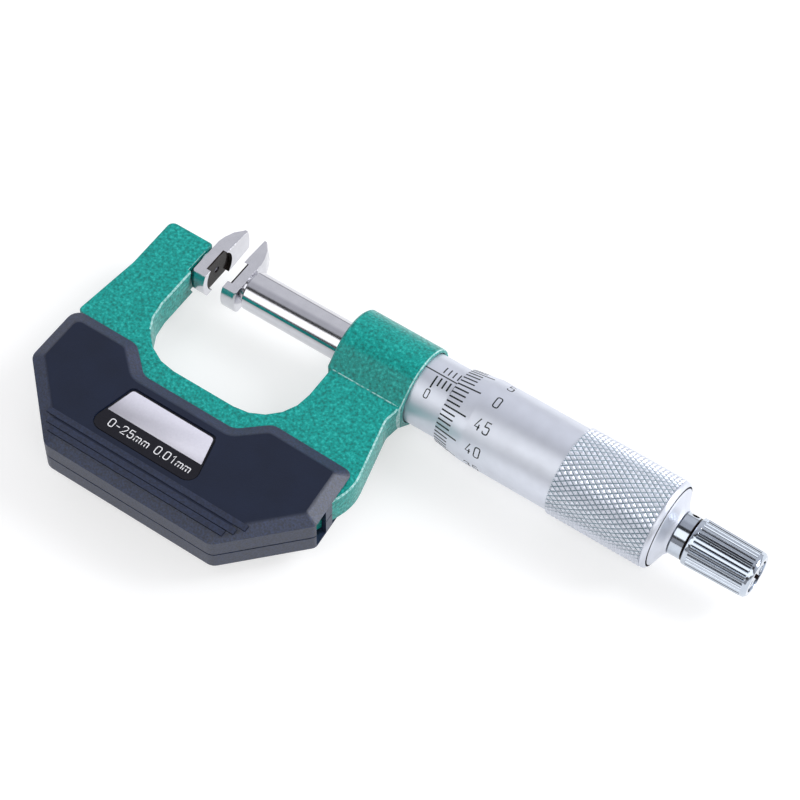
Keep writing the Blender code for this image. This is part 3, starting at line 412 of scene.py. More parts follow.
def engraved(name, words, height, width, gap, stroke):
    """Figures drawn with a round-ended cutter, centred on the origin."""
    deselect()
    curve = bpy.data.curves.new(name, "CURVE")
    curve.dimensions = "3D"
    curve.bevel_depth = stroke / 2
    curve.bevel_resolution = 1
    curve.use_fill_caps = True
    widths = [width * FIGURE_WIDTHS.get(sign, 1.0) for sign in words]
    left = -(sum(widths) + (len(words) - 1) * gap) / 2
    for sign, wide in zip(words, widths):
        corner = Vector((left, -height / 2))
        left += wide + gap
        for points in FIGURES[sign]:
            path = soft_corners(points, wide, height)
            spline = curve.splines.new("POLY")
            spline.points.add(len(path) - 1)
            for point, spot in zip(spline.points, path):
                point.co = (*(corner + spot), 0.0, 1.0)
            spline.use_cyclic_u = sign in CLOSED_FIGURES
    piece = bpy.data.objects.new(name, curve)
    bpy.context.scene.collection.objects.link(piece)
    choose(piece)
    bpy.ops.object.convert(target="MESH")
    piece = bpy.context.object
    for vertex in piece.data.vertices:
        vertex.co.z *= 2 * INK_PROUD / stroke
    return piece


def figure_row(name, places, radius, style):
    """Engrave 0, 5, 10 and so on at flat (x, y) places and wrap them round a cylinder."""
    figures = []
    for k, (x, y) in enumerate(places):
        figure = engraved("figure", str(5 * k), **style)
        figure.data.transform(Matrix.Translation((x, y, 0.0)))
        figures.append(figure)
    numbers = join(name, figures)
    wrap(numbers, radius)
    return numbers


def top_sheet(node, name, inset, lift, thickness, low_y=None):
    """A thin printed sheet in the shape of a node's top face, drawn in from its rim."""
    piece = skin_of(node, name)
    top = max(vertex.co.z for vertex in piece.data.vertices)
    for polygon in piece.data.polygons:
        polygon.select = polygon.normal.z > 0.9 and polygon.center.z > top - 0.02 * MM
    with editing(piece, "FACE", everything=False):
        bpy.ops.mesh.select_all(action="INVERT")
        bpy.ops.mesh.delete(type="FACE")
        bpy.ops.mesh.select_all(action="SELECT")
        bpy.ops.mesh.dissolve_limited(angle_limit=math.radians(1.0))
        bpy.ops.mesh.inset(thickness=inset)
        bpy.ops.mesh.select_all(action="INVERT")
        bpy.ops.mesh.delete(type="FACE")
        if low_y is not None:
            bisect((0.0, low_y, 0.0), (0.0, 1.0, 0.0), clear_inner=True)
        bpy.ops.mesh.select_all(action="SELECT")
        bpy.ops.transform.translate(value=(0.0, 0.0, lift))
    apply_modifier(piece, "SOLIDIFY", thickness=thickness, offset=1.0)
    return piece


# Material helpers

class Nodes:
    """A node tree with short ways to add, fill and combine its nodes."""

    def __init__(self, tree):
        self.tree = tree

    def fill(self, item, inputs):
        """Link or set a node's inputs, given by name or number."""
        for key, value in inputs.items():
            if isinstance(value, NodeSocket):
                self.tree.links.new(value, item.inputs[key])
            else:
                item.inputs[key].default_value = value

    def node(self, kind, inputs, **values):
        """Add a node, set its properties and then fill its inputs."""
        item = self.tree.nodes.new(kind)
        for key, value in values.items():
            setattr(item, key, value)
        self.fill(item, inputs)
        return item

    def calc(self, operation, *terms):
        """One calculation with sockets and numbers."""
        item = self.node("ShaderNodeMath", dict(enumerate(terms)), operation=operation)
        return item.outputs[0]

    def above(self, value, low):
        return self.calc("GREATER_THAN", value, low)

    def below(self, value, high):
        return self.calc("LESS_THAN", value, high)

    def within(self, value, low, high):
        return self.all_of(self.above(value, low), self.below(value, high))

    def all_of(self, mask, *others):
        """One where all of these masks are one."""
        for other in others:
            mask = self.calc("MULTIPLY", mask, other)
        return mask

    def any_of(self, mask, *others):
        """One where any of these masks is one."""
        for other in others:
            mask = self.calc("MAXIMUM", mask, other)
        return mask

    def blend(self, factor, first, second):
        """Mix two colours by a factor."""
        inputs = {"Factor": factor, "A": first, "B": second}
        return self.node("ShaderNodeMix", inputs, data_type="RGBA").outputs["Result"]

    def ramp(self, factor, *stops):
        """Turn a factor into the colours of these (place, colour) stops."""
        item = self.node("ShaderNodeValToRGB", {"Fac": factor})
        line = item.color_ramp.elements
        line[0].position, line[0].color = stops[0][0], (*stops[0][1], 1.0)
        line[1].position, line[1].color = stops[-1][0], (*stops[-1][1], 1.0)
        for place, colour in stops[1:-1]:
            line.new(place).color = (*colour, 1.0)
        return item.outputs["Color"]

    def span(self, factor, low, high, start=0.0, stop=1.0):
        """Map a factor to a range of numbers."""
        inputs = {"From Min": start, "From Max": stop, "To Min": low, "To Max": high,
                  "Value": factor}
        return self.node("ShaderNodeMapRange", inputs).outputs["Result"]


class Finish(Nodes):
    """A small builder for one procedural material on Object coordinates."""

    def __init__(self, name, colour, roughness, metallic, specular=0.5, scale=(1, 1, 1)):
        self.material = bpy.data.materials.new(name)
        self.material.use_nodes = True
        self.material.diffuse_color = (*colour, 1.0)
        super().__init__(self.material.node_tree)
        self.shader = self.tree.nodes["Principled BSDF"]
        self.shade({"Base Color": (*colour, 1.0), "Roughness": roughness,
                    "Metallic": metallic, "Specular IOR Level": specular})
        self.place = self.scaled(self.node("ShaderNodeTexCoord", {}).outputs["Object"], scale)

    def shade(self, inputs):
        """Fill inputs of the surface."""
        self.fill(self.shader, inputs)

    def scaled(self, place, scale):
        item = self.node("ShaderNodeMapping", {"Vector": place, "Scale": scale})
        return item.outputs["Vector"]

    def noise(self, scale, detail=2.0, roughness=0.5, stretch=None):
        """Cloudy noise, which a stretch turns into turning or grinding lines."""
        place = self.scaled(self.place, stretch) if stretch else self.place
        inputs = {"Scale": scale, "Detail": detail, "Roughness": roughness, "Vector": place}
        return self.node("ShaderNodeTexNoise", inputs).outputs["Fac"]

    def axis_place(self):
        """The x, radius, y and z sockets, from the fixed jaw's face and the axis."""
        centre = self.node("ShaderNodeVectorMath", {0: self.place, 1: (FACE_X, AXIS_Y, AXIS_Z)},
                           operation="SUBTRACT").outputs["Vector"]
        flat = self.node("ShaderNodeVectorMath", {0: centre, 1: (0.0, 1.0, 1.0)},
                         operation="MULTIPLY").outputs["Vector"]
        length = self.node("ShaderNodeVectorMath", {0: flat}, operation="LENGTH")
        x, y, z = self.node("ShaderNodeSeparateXYZ", {"Vector": centre}).outputs
        return x, length.outputs["Value"], y, z

    def side_of(self, y, z, angle):
        """The distance from the plane through the axis that leans towards the foot."""
        return self.calc("ADD", self.calc("MULTIPLY", y, math.cos(angle)),
                         self.calc("MULTIPLY", z, math.sin(angle)))

    def painted_shade_and_grime(self):
        """The brown-black of hollows: painted shade, with some grime."""
        return self.ramp(self.noise(900.0, 3.0), (0.3, (0.008, 0.006, 0.006)),
                         (0.7, (0.03, 0.024, 0.022)))

    def paint_shade_and_grime(self, mask, colour, metallic):
        """Give the metal its colour, and let a mask turn it into a matt brown-black: painted
        shade in hollows, with some grime.
        """
        self.shade({"Base Color": self.blend(mask, colour, self.painted_shade_and_grime()),
                    "Metallic": self.span(mask, metallic, 0.0),
                    "Specular IOR Level": self.span(mask, 0.5, 0.1)})

    def bump(self, *layers):
        """Stack bumps given as (height, strength, distance)."""
        inputs = {}
        for height, strength, distance in layers:
            inputs.update({"Height": height, "Strength": strength, "Distance": distance})
            inputs["Normal"] = self.node("ShaderNodeBump", inputs).outputs["Normal"]
        self.shade({"Normal": inputs["Normal"]})

    def speckle(self, grain, dark, pale, roughness=None, bump=0.0):
        """Finish the material with one grain in its colour, its gloss and its height."""
        self.shade({"Base Color": self.ramp(grain, (0.3, dark), (0.7, pale))})
        if roughness:
            self.shade({"Roughness": self.span(grain, *roughness)})
        if bump:
            self.bump((grain, bump, 0.00003))
        return self.material


def made(build):
    """Return the material that a function builds under its own name, built only once."""
    return bpy.data.materials.get(build.__name__) or build(build.__name__)


def hammered_enamel(name):
    """Green hammered enamel: shallow cells with dark joints, and a painted highlight in pale
    enamel on the hub's rim and the throat's and shoulder's edges.
    """
    base = Vector(bpy.context.scene.micrometer_finish.paint_colour)
    finish = Finish(name, base, 0.36, 0.0, specular=0.2)
    grain = finish.noise(1750.0, 3.0, 0.6)
    pale = base * 1.35 + Vector((0.02, 0.06, 0.06))
    paint = finish.ramp(grain, (0.36, base * 0.58), (0.46, base * 0.92),
                        (0.56, base * 1.08), (0.68, pale))
    # Pale enamel for a painted highlight on the hub's rim and on the throat's and shoulder's
    # edges
    painted_edge_highlight = finish.ramp(grain, (0.35, (0.1, 0.42, 0.38)), (0.6, (0.45, 0.68, 0.66)))
    x, radius, y, z = finish.axis_place()
    rim = finish.all_of(finish.within(x, *HUB_RIM), finish.below(radius, HUB_RIM_RADIUS))
    throat = finish.all_of(finish.within(x, *THROAT_X), finish.within(y, *THROAT_Y))
    shoulder = finish.all_of(finish.above(x, SHOULDER_X), finish.below(y, SHOULDER_Y))
    edge = finish.all_of(finish.within(z, *EDGE_HIGHLIGHT_Z), finish.any_of(throat, shoulder))
    finish.shade({"Base Color": finish.blend(finish.any_of(rim, edge), paint, painted_edge_highlight),
                  "Roughness": finish.span(grain, 0.46, 0.28, 0.3, 0.7),
                  "Coat Weight": 0.25, "Coat Roughness": 0.1})
    cells = finish.node("ShaderNodeTexVoronoi", {"Scale": 1600.0, "Vector": finish.place})
    finish.bump((finish.noise(1500.0), 0.6, 0.00014),
                (cells.outputs["Distance"], 0.3, 0.0001))
    return finish.material


def painted_highlight_enamel(name):
    """Paler enamel on the bead in the crease under the hub: a painted highlight along the
    crease.
    """
    finish = Finish(name, (0.2, 0.5, 0.46), 0.3, 0.0)
    grain = finish.noise(1500.0, 3.0)
    finish.shade({"Base Color": finish.ramp(grain, (0.4, (0.03, 0.34, 0.3)),
                                            (0.55, (0.36, 0.62, 0.6))),
                  "Roughness": finish.span(grain, 0.26, 0.4)})
    return finish.material


def grained_plastic(name):
    """Slate moulding: smooth dark tops, and a coarser grain on chamfers and ribs, made paler by
    a painted sheen.
    """
    base = Vector(bpy.context.scene.micrometer_finish.cover_colour)
    finish = Finish(name, base, 0.45, 0.0)
    grain = finish.noise(3600.0, 2.0, 0.6)
    height = finish.calc("ABSOLUTE", finish.axis_place()[3])
    chamfer = finish.span(height, 0.0, 1.0, COVER_TOP - 0.3 * MM, COVER_TOP - 0.02 * MM)
    crest = finish.span(height, 1.0, 0.45, COVER_TOP + 0.02 * MM, COVER_TOP + 0.1 * MM)
    flat = finish.all_of(chamfer, crest)
    top = finish.ramp(finish.noise(160.0, 3.0), (0.3, base * 0.9), (0.7, base * 1.12))
    # Chamfers, side walls and ribs: coarser grain, made paler by a painted sheen
    painted_sheen_side = finish.ramp(finish.noise(2600.0), (0.34, base * 0.9), (0.66, base * 2.8))
    finish.shade({"Base Color": finish.blend(flat, painted_sheen_side, top),
                  "Roughness": finish.span(grain, 0.36, 0.54),
                  "Specular IOR Level": finish.span(flat, 0.75, 0.3)})
    finish.bump((grain, 0.4, 0.00008))
    return finish.material


def frosted_chrome(name):
    """Satin chrome: a frosted grain over very fine turning lines."""
    return chrome_plate(name, 0.36, 0.46, 0.9, THIMBLE_INSIDE)


def knurled_chrome(name):
    """The same plating on the grip, with painted shade in the grooves between the crests."""
    depth = bpy.context.scene.micrometer_finish.knurl_depth
    return chrome_plate(name, 0.32, 0.42, 0.42, GRIP_RADIUS - depth * KNURL_SHADE_SHARE)


def chrome_plate(name, low, high, metallic, groove_shade_radius):
    """Chrome between two roughnesses, with painted shade in the cap's gap and in the grip's
    grooves inside a radius.
    """
    base = Vector(bpy.context.scene.micrometer_finish.chrome_colour)
    finish = Finish(name, base, (low + high) / 2, metallic)
    grain = finish.noise(9000.0)
    lines = finish.noise(180.0, stretch=(60.0, 1.0, 1.0))
    chrome = finish.ramp(finish.noise(300.0), (0.25, base * 0.95), (0.75, base * 1.03))
    # Painted shade for the bottoms of the grip's grooves
    painted_groove_shade = finish.ramp(grain, (0.3, (0.16, 0.25, 0.3)), (0.7, (0.23, 0.33, 0.38)))
    x, radius = finish.axis_place()[:2]
    grooves = finish.all_of(finish.within(x, GRIP_START, GRIP_END),
                            finish.below(radius, groove_shade_radius))
    # Painted shade, with some grime, in the gap before the cap
    gap = finish.all_of(finish.within(radius, *CAP_GAP_RADII), finish.within(x, *CAP_GAP_X))
    finish.paint_shade_and_grime(gap, finish.blend(grooves, chrome, painted_groove_shade), metallic)
    finish.shade({"Roughness": finish.span(grain, low, high)})
    finish.bump((grain, 0.12, 0.00003), (lines, 0.1, 0.00003))
    return finish.material


def lapped_steel(name):
    """The ground steel of the jaws and the inner pieces."""
    return ground_steel_finish(name, 0.12, 0.24)


def honed_steel(name):
    """The spindle's smoother steel."""
    return ground_steel_finish(name, 0.05, 0.1)


def ground_steel_finish(name, low, high):
    """Steel between two roughnesses with faint lines, and painted shade in the beaks' relief.
    """
    base = Vector(bpy.context.scene.micrometer_finish.steel_colour)
    finish = Finish(name, base, 0.16, 1.0)
    lines = finish.noise(250.0, stretch=(40.0, 1.0, 2.0))
    steel = finish.ramp(finish.noise(400.0), (0.25, base * 0.94), (0.75, base * 1.04))
    x, radius = finish.axis_place()[:2]
    from_middle = finish.calc("ABSOLUTE", finish.calc("SUBTRACT", x, READING / 2))
    near, far = (READING / 2 + depth for depth in RELIEF_DEPTH)
    relief = finish.all_of(finish.below(radius, RELIEF_RADIUS),
                           finish.within(from_middle, near, far))
    # Painted shade, with some grime, in the relief behind each measuring face
    finish.paint_shade_and_grime(relief, steel, 1.0)
    finish.shade({"Roughness": finish.span(lines, low, high)})
    finish.bump((lines, 0.06, 0.00002))
    return finish.material


def polished_steel(name):
    """Bright steel, with painted shade in the spanner hole, the slot and ring, the gap and the
    flutes.
    """
    base = Vector(bpy.context.scene.micrometer_finish.steel_colour)
    finish = Finish(name, base, 0.12, 1.0)
    cool = Vector((0.8 * base.x, 0.88 * base.y, 0.94 * base.z))
    lines = finish.noise(200.0, stretch=(50.0, 1.0, 1.0))
    steel = finish.ramp(finish.noise(500.0), (0.25, cool * 0.97), (0.75, cool * 1.08))
    x, radius, y, z = finish.axis_place()
    along = finish.calc("SUBTRACT", x, HOLE_X)
    across = finish.side_of(y, z, HOLE_TURN)
    squares = finish.calc("ADD", finish.calc("MULTIPLY", along, along),
                          finish.calc("MULTIPLY", across, across))
    hole = finish.below(finish.calc("SQRT", squares), HOLE_RADIUS)
    gap = finish.within(x, *KNOB_GAP)
    from_slot = finish.calc("ABSOLUTE", finish.side_of(y, z, SLOT_TURN))
    slot = finish.all_of(finish.within(x, *SLOT_X), finish.below(from_slot, SLOT_DARK_HALF),
                         finish.below(radius, SLOT_DARK_RADIUS))
    ring = finish.all_of(finish.within(x, *RING_X), finish.within(radius, *RING_RADII))
    taper = finish.calc("MULTIPLY", finish.calc("SUBTRACT", x, FLUTE_TAPER_X), FLUTE_TAPER)
    bottom = finish.below(finish.calc("ADD", radius, taper), FLUTE_BOTTOM)
    flutes = finish.all_of(finish.within(x, *FLUTES_X), bottom,
                           finish.above(radius, FLUTE_INNER))
    # Painted shade, with some grime, in the hole, gap, slot, ring and flute bottoms
    finish.paint_shade_and_grime(finish.any_of(hole, gap, slot, ring, flutes), steel, 1.0)
    finish.shade({"Roughness": finish.span(lines, 0.08, 0.16)})
    finish.bump((lines, 0.05, 0.00002))
    return finish.material


def dark_enamel(name):
    """The dark filling of engraved lines and figures."""
    finish = Finish(name, (0.008, 0.012, 0.014), 0.5, 0.0, specular=0.2)
    return finish.speckle(finish.noise(4000.0), (0.005, 0.008, 0.01),
                          (0.013, 0.018, 0.02))


def blackened_steel(name):
    """Oil-blackened screws and nuts."""
    finish = Finish(name, (0.09, 0.09, 0.1), 0.35, 1.0)
    return finish.speckle(finish.noise(1500.0, 3.0), (0.06, 0.06, 0.07),
                          (0.14, 0.14, 0.15), roughness=(0.25, 0.45), bump=0.1)


def turned_brass(name):
    """Turned brass for the bearing sleeve inside the barrel."""
    finish = Finish(name, (0.62, 0.45, 0.2), 0.3, 1.0, scale=(60.0, 1.0, 1.0))
    return finish.speckle(finish.noise(160.0), (0.5, 0.36, 0.15), (0.7, 0.52, 0.25),
                          roughness=(0.22, 0.4), bump=0.15)


def silver_foil(name):
    """The pale satin part of the label."""
    finish = Finish(name, (0.7, 0.69, 0.78), 0.4, 0.1)
    return finish.speckle(finish.noise(2500.0), (0.68, 0.67, 0.76), (0.72, 0.71, 0.8),
                          roughness=(0.34, 0.46))


def black_print(name):
    """The gloss black ground of the label."""
    finish = Finish(name, (0.003, 0.003, 0.008), 0.25, 0.0, specular=0.3)
    return finish.speckle(finish.noise(2500.0), (0.002, 0.002, 0.006),
                          (0.005, 0.005, 0.011), roughness=(0.2, 0.3))


def white_print(name):
    """White printing ink."""
    finish = Finish(name, (0.85, 0.85, 0.87), 0.4, 0.0)
    return finish.speckle(finish.noise(3000.0), (0.82, 0.82, 0.85), (0.88, 0.88, 0.9))


# Properties

class MicrometerFinish(PropertyGroup):
    """Sizes and colours that a user may change."""

    paint_colour: FloatVectorProperty(
        name="Paint", description="Colour of the hammered enamel on the frame",
        subtype="COLOR", default=(0.002, 0.29, 0.255), min=0.0, max=1.0)
    cover_colour: FloatVectorProperty(
        name="Covers", description="Colour of the insulating covers",
        subtype="COLOR", default=(0.006, 0.011, 0.03), min=0.0, max=1.0)
    chrome_colour: FloatVectorProperty(
        name="Satin chrome", description="Colour of the sleeve, the thimble and its cap",
        subtype="COLOR", default=(0.72, 0.75, 0.83), min=0.0, max=1.0)
    steel_colour: FloatVectorProperty(
        name="Steel", description="Colour of the jaws, the spindle and the ratchet",
        subtype="COLOR", default=(0.66, 0.66, 0.7), min=0.0, max=1.0)
    knurl_rows: IntProperty(
        name="Knurl rows", description="Diamonds round the thimble's grip",
        default=50, min=20, max=80)
    knurl_depth: FloatProperty(
        name="Knurl depth", description="Depth of the grooves between the diamonds",
        default=0.34 * MM, min=0.0, unit="LENGTH")
    line_width: FloatProperty(
        name="Line width", description="Width of the millimetre lines on the sleeve",
        default=0.32 * MM, min=0.0, unit="LENGTH")


# Operators

class MICROMETER_OT_frame(Operator):
    """Make the enamelled frame with soft edges and the crease under its hub"""

    bl_idname = "micrometer.frame"
    bl_label = "Frame"

    def execute(self, context):
        casting = skin_of("frame", "enamelled_frame", bevel=0.25 * MM, angle=28.0, segments=3)
        dress(casting, "frame_body", "green_paint", made(hammered_enamel), "frame")
        deselect()
        low, high = FOLD_X
        bpy.ops.mesh.primitive_cylinder_add(
            vertices=16, radius=FOLD_RADIUS, depth=high - low,
            location=(FACE_X + (low + high) / 2, AXIS_Y + FOLD_Y, AXIS_Z + FOLD_Z),
            rotation=(0.0, math.pi / 2, 0.0))
        bead = context.object
        bead.name = "hub_fold"
        settle(bead)
        apply_modifier(bead, "BEVEL", width=0.06 * MM, segments=2, limit_method="ANGLE")
        tidy_shell(bead, 40)
        # The bead's pale enamel paints a highlight along the crease
        dress(bead, "frame_body", "green_paint", made(painted_highlight_enamel))
        return {"FINISHED"}


class MICROMETER_OT_covers(Operator):
    """Make the two insulating covers, the front one's ribs and the screws"""

    bl_idname = "micrometer.covers"
    bl_label = "Covers"

    def execute(self, context):
        plastic = made(grained_plastic)
        for node, slot in (("front_cover", "front_plastic"), ("rear_cover", "rear_plastic")):
            shell = skin_of(node, node.replace("cover", "shell"), bevel=0.45 * MM, angle=22.0,
                            segments=4)
            dress(shell, "frame_body", slot, plastic, node)
        ribs = join("cover_ribs", [cover_rib(*line) for line in RIB_LINES])
        dress(ribs, "frame_body", "front_plastic", plastic)
        for node in ("cover_screw_1", "cover_screw_2", "spindle_key"):
            head = skin_of(node, node + "_head", bevel=0.06 * MM)
            dress(head, "frame_body", "dark_steel", made(blackened_steel), node)
        return {"FINISHED"}


def cover_rib(start, stop, crest):
    """One low grip rib: a long wedge with a crest, run out at both ends."""
    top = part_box("front_cover")[1].z
    middle = Vector((FACE_X + (start + stop) / 2 * MM, AXIS_Y + crest * MM, top))
    rib = box("cover_rib", middle, ((stop - start) * MM, RIB_WIDTH * 2, RIB_HEIGHT * 2))
    ridge = middle + Vector((0.0, 0.0, RIB_HEIGHT))
    reach = Vector(((stop - start) / 2 * MM - RIB_RUN_OUT, 0.0, 0.0))
    with editing(rib):
        for place, slope in ((ridge, (0.0, RIB_HEIGHT, RIB_WIDTH * 0.8)),
                             (ridge, (0.0, -RIB_HEIGHT, RIB_WIDTH * 0.3)),
                             (ridge + reach, (RIB_HEIGHT, 0.0, RIB_RUN_OUT)),
                             (ridge - reach, (-RIB_HEIGHT, 0.0, RIB_RUN_OUT))):
            bisect(place, slope, clear_outer=True, use_fill=True)
    apply_modifier(rib, "BEVEL", width=0.05 * MM, segments=2, limit_method="ANGLE",
                   angle_limit=math.radians(20))
    bpy.ops.object.shade_smooth_by_angle(angle=math.radians(40))
    return rib


class MICROMETER_OT_label(Operator):
    """Make the label: a pale foil, a black ground with its words and a pale panel"""

    bl_idname = "micrometer.label"
    bl_label = "Label"

    def execute(self, context):
        foil = made(silver_foil)
        plate = skin_of("label_plate", "label_foil", bevel=0.04 * MM, angle=40.0, segments=1)
        dress(plate, "frame_body", "label_print", foil, "label_plate")
        ground = top_sheet("label_plate", "label_ground", inset=0.16 * MM, lift=0.0,
                           thickness=0.02 * MM)
        dress(ground, "frame_body", "label_print", made(black_print))
        panel = top_sheet("label_plate", "label_panel", inset=0.3 * MM, lift=0.004 * MM,
                          thickness=0.03 * MM, low_y=AXIS_Y + LABEL_DIVIDER_Y)
        dress(panel, "frame_body", "label_print", foil)
        words = []
        for text, middle, gap in LABEL_WORDS:
            word = engraved("label_words", text, gap=gap, **LABEL_STYLE)
            spot = (FACE_X + middle, AXIS_Y + LABEL_WORDS_Y, LABEL_TOP + 0.02 * MM)
            word.data.transform(Matrix.Translation(spot))
            words.append(word)
        dress(join("label_words", words), "frame_body", "label_print", made(white_print))
        return {"FINISHED"}


class MICROMETER_OT_jaws(Operator):
    """Make the two beaked jaws with their honed edges"""

    bl_idname = "micrometer.jaws"
    bl_label = "Jaws"

    def execute(self, context):
        for node, body in (("fixed_jaw", "frame_body"), ("moving_jaw", "spindle_body")):
            beak = skin_of(node, node.replace("jaw", "beak"), bevel=0.08 * MM, angle=25.0,
                           segments=3)
            dress(beak, body, "ground_steel", made(lapped_steel), node)
        return {"FINISHED"}


class MICROMETER_OT_spindle(Operator):
    """Make the honed spindle"""

    bl_idname = "micrometer.spindle"
    bl_label = "Spindle"

    def execute(self, context):
        rod = skin_of("spindle", "spindle_rod")
        dress(rod, "spindle_body", "ground_steel", made(honed_steel), "spindle")
        return {"FINISHED"}


class MICROMETER_OT_barrel(Operator):
    """Make the sleeve with its scale"""

    bl_idname = "micrometer.barrel"
    bl_label = "Sleeve and scale"

    def execute(self, context):
        low, high = SLEEVE_LOW.x - FACE_X, SLEEVE_HIGH.x - FACE_X
        soft = 0.05 * MM
        inner = SLEEVE_RADIUS - SLEEVE_WALL
        tube = lathe("graduated_sleeve", [
            (low, SLEEVE_RADIUS - soft), (low + soft, SLEEVE_RADIUS),
            (high - soft, SLEEVE_RADIUS), (high, SLEEVE_RADIUS - soft),
            (high, inner), (low, inner), (low, SLEEVE_RADIUS - soft)])
        dress(tube, "frame_body", "satin_chrome", made(frosted_chrome), "sleeve")

        wide = context.scene.micrometer_finish.line_width
        zero = EDGE_X - READING
        short_y, long_y = (-LINE_SHORT, -LINE_NEAR), (-LINE_LONG, -LINE_NEAR)
        plain = [k * MM for k in range(1, 25) if (k + 1) % 5]
        scale = join("sleeve_lines", [
            flat_bar("datum_line", (HUB_END - 0.2 * MM, high - 0.3 * MM),
                     (-0.12 * MM, 0.12 * MM)),
            bar_row("millimetre_line", zero + MM, wide, short_y, plain),
            bar_row("five_line", zero, wide, long_y, [5 * k * MM for k in range(1, 6)]),
            bar_row("half_line", zero + 0.5 * MM, wide * HALF_LINE_SHARE,
                    (LINE_NEAR, LINE_HALF), [k * MM for k in range(1, 25)])])
        wrap(scale, SLEEVE_RADIUS, INK_PROUD - INK_DEPTH / 2)
        dress(scale, "frame_body", "dark_steel", made(dark_enamel))

        places = [(zero + 5 * k * MM, SLEEVE_FIGURES_Y) for k in range(6)]
        numbers = figure_row("sleeve_figures", places, SLEEVE_RADIUS, SLEEVE_STYLE)
        dress(numbers, "frame_body", "dark_steel", made(dark_enamel))
        return {"FINISHED"}


def thimble_radius(x):
    """The thimble's radius in front of its grip: a cone, then a cylinder."""
    share = min(max((x - EDGE_X) / CONE_LENGTH, 0.0), 1.0)
    return EDGE_RADIUS + (BARREL_RADIUS - EDGE_RADIUS) * share


class MICROMETER_OT_thimble(Operator):
    """Make the thimble, its knurled grip, its scale and its end cap"""

    bl_idname = "micrometer.thimble"
    bl_label = "Thimble"

    def execute(self, context):
        look = context.scene.micrometer_finish
        shell = lathe("thimble_shell", millimetres(THIMBLE_PROFILE))
        dress(shell, "thimble_body", "satin_chrome", made(frosted_chrome), "thimble")
        grip = knurled_grip("knurled_grip", look.knurl_rows, look.knurl_depth)
        dress(grip, "thimble_body", "satin_chrome", made(knurled_chrome), "thimble")
        cap = lathe("thimble_cone", millimetres(CAP_PROFILE), angle=30.0)
        dress(cap, "thimble_body", "satin_chrome", made(frosted_chrome), "thimble_cap")

        half = look.line_width * THIMBLE_LINE_SHARE / 2
        edge = EDGE_X + 0.03 * MM
        pitch = math.tau / THIMBLE_LINES
        lines = []
        for k in range(THIMBLE_LINES):
            length = THIMBLE_SHORT if k % 5 else THIMBLE_LONG
            line = flat_bar("thimble_line", (edge, edge + length), (-half, half))
            bend(line, thimble_radius, INK_PROUD - INK_DEPTH / 2, k * pitch)
            lines.append(line)
        scale = join("thimble_lines", lines)
        tidy_shell(scale, 30)
        dress(scale, "thimble_body", "dark_steel", made(dark_enamel))

        radius = thimble_radius(THIMBLE_FIGURES_X)
        turns = [k * 5 * pitch if k <= 5 else k * 5 * pitch - math.tau for k in range(10)]
        places = [(THIMBLE_FIGURES_X, turn * radius) for turn in turns]
        numbers = figure_row("thimble_figures", places, radius, THIMBLE_STYLE)
        dress(numbers, "thimble_body", "dark_steel", made(dark_enamel))
        return {"FINISHED"}


def select_near(piece, x, z=None):
    """Select the vertices at one x, or at one x and z, and the edges between them."""
    close = 0.002 * MM
    vertices = piece.data.vertices
    for vertex in vertices:
        near = abs(vertex.co.x - x) < close
        vertex.select = near and (z is None or abs(vertex.co.z - z) < close)
    for edge in piece.data.edges:
        edge.select = all(vertices[index].select for index in edge.vertices)
    for polygon in piece.data.polygons:
        polygon.select = False


def knurled_grip(name, rows, depth):
    """A ring with a lattice of raised diamonds, modelled flat and then rolled up."""
    groove = GRIP_RADIUS - depth
    length = GRIP_END - GRIP_START
    pitch_x = length / KNURL_PITCHES
    pitch_y = math.tau * groove / rows
    deselect()
    bpy.ops.mesh.primitive_circle_add(vertices=4, radius=0.5, fill_type="NGON")
    first = bpy.context.object
    first.scale = (pitch_x, pitch_y, 1.0)
    settle(first)
    with editing(first, "FACE"):
        for rise, size in KNURL_STEPS:
            extrude(0.0, 0.0, depth * rise)
            bpy.ops.transform.resize(value=(size, size, 1.0), center_override=(0.0, 0.0, 0.0))
    for polygon in first.data.polygons:
        polygon.select = polygon.center.z < 0.01 * MM
    with editing(first, everything=False):
        bpy.ops.mesh.delete(type="ONLY_FACE")
    grip = join(name, [first, copy_of(first, name, (pitch_x / 2, pitch_y / 2, 0.0))])
    columns = round(KNURL_PITCHES + 2 * KNURL_SPARE)
    for count, step in ((columns, (pitch_x, 0.0, 0.0)), (rows, (0.0, pitch_y, 0.0))):
        apply_modifier(grip, "ARRAY", count=count, use_relative_offset=False,
                       use_constant_offset=True, constant_offset_displace=step)

    low = pitch_x * KNURL_SPARE
    high = low + length
    with editing(grip, "VERT"):
        bpy.ops.mesh.remove_doubles(threshold=0.001 * MM)
        bisect((low, 0.0, 0.0), (1.0, 0.0, 0.0), clear_inner=True)
        bisect((high, 0.0, 0.0), (-1.0, 0.0, 0.0), clear_inner=True)
    for end in (low, high):
        select_near(grip, end)
        with editing(grip, everything=False):
            extrude(0.0, 0.0, -KNURL_SKIRT)
            bpy.ops.transform.resize(value=(1.0, 1.0, 0.0),
                                     center_override=(0.0, 0.0, -KNURL_SKIRT))
    select_near(grip, low, -KNURL_SKIRT)
    with editing(grip, everything=False):
        extrude(length, 0.0, 0.0)
    grip.data.transform(Matrix.Translation((GRIP_START - low, 0.0, 0.0)))
    bend(grip, lambda x: groove)
    tidy_shell(grip, 30)
    return grip


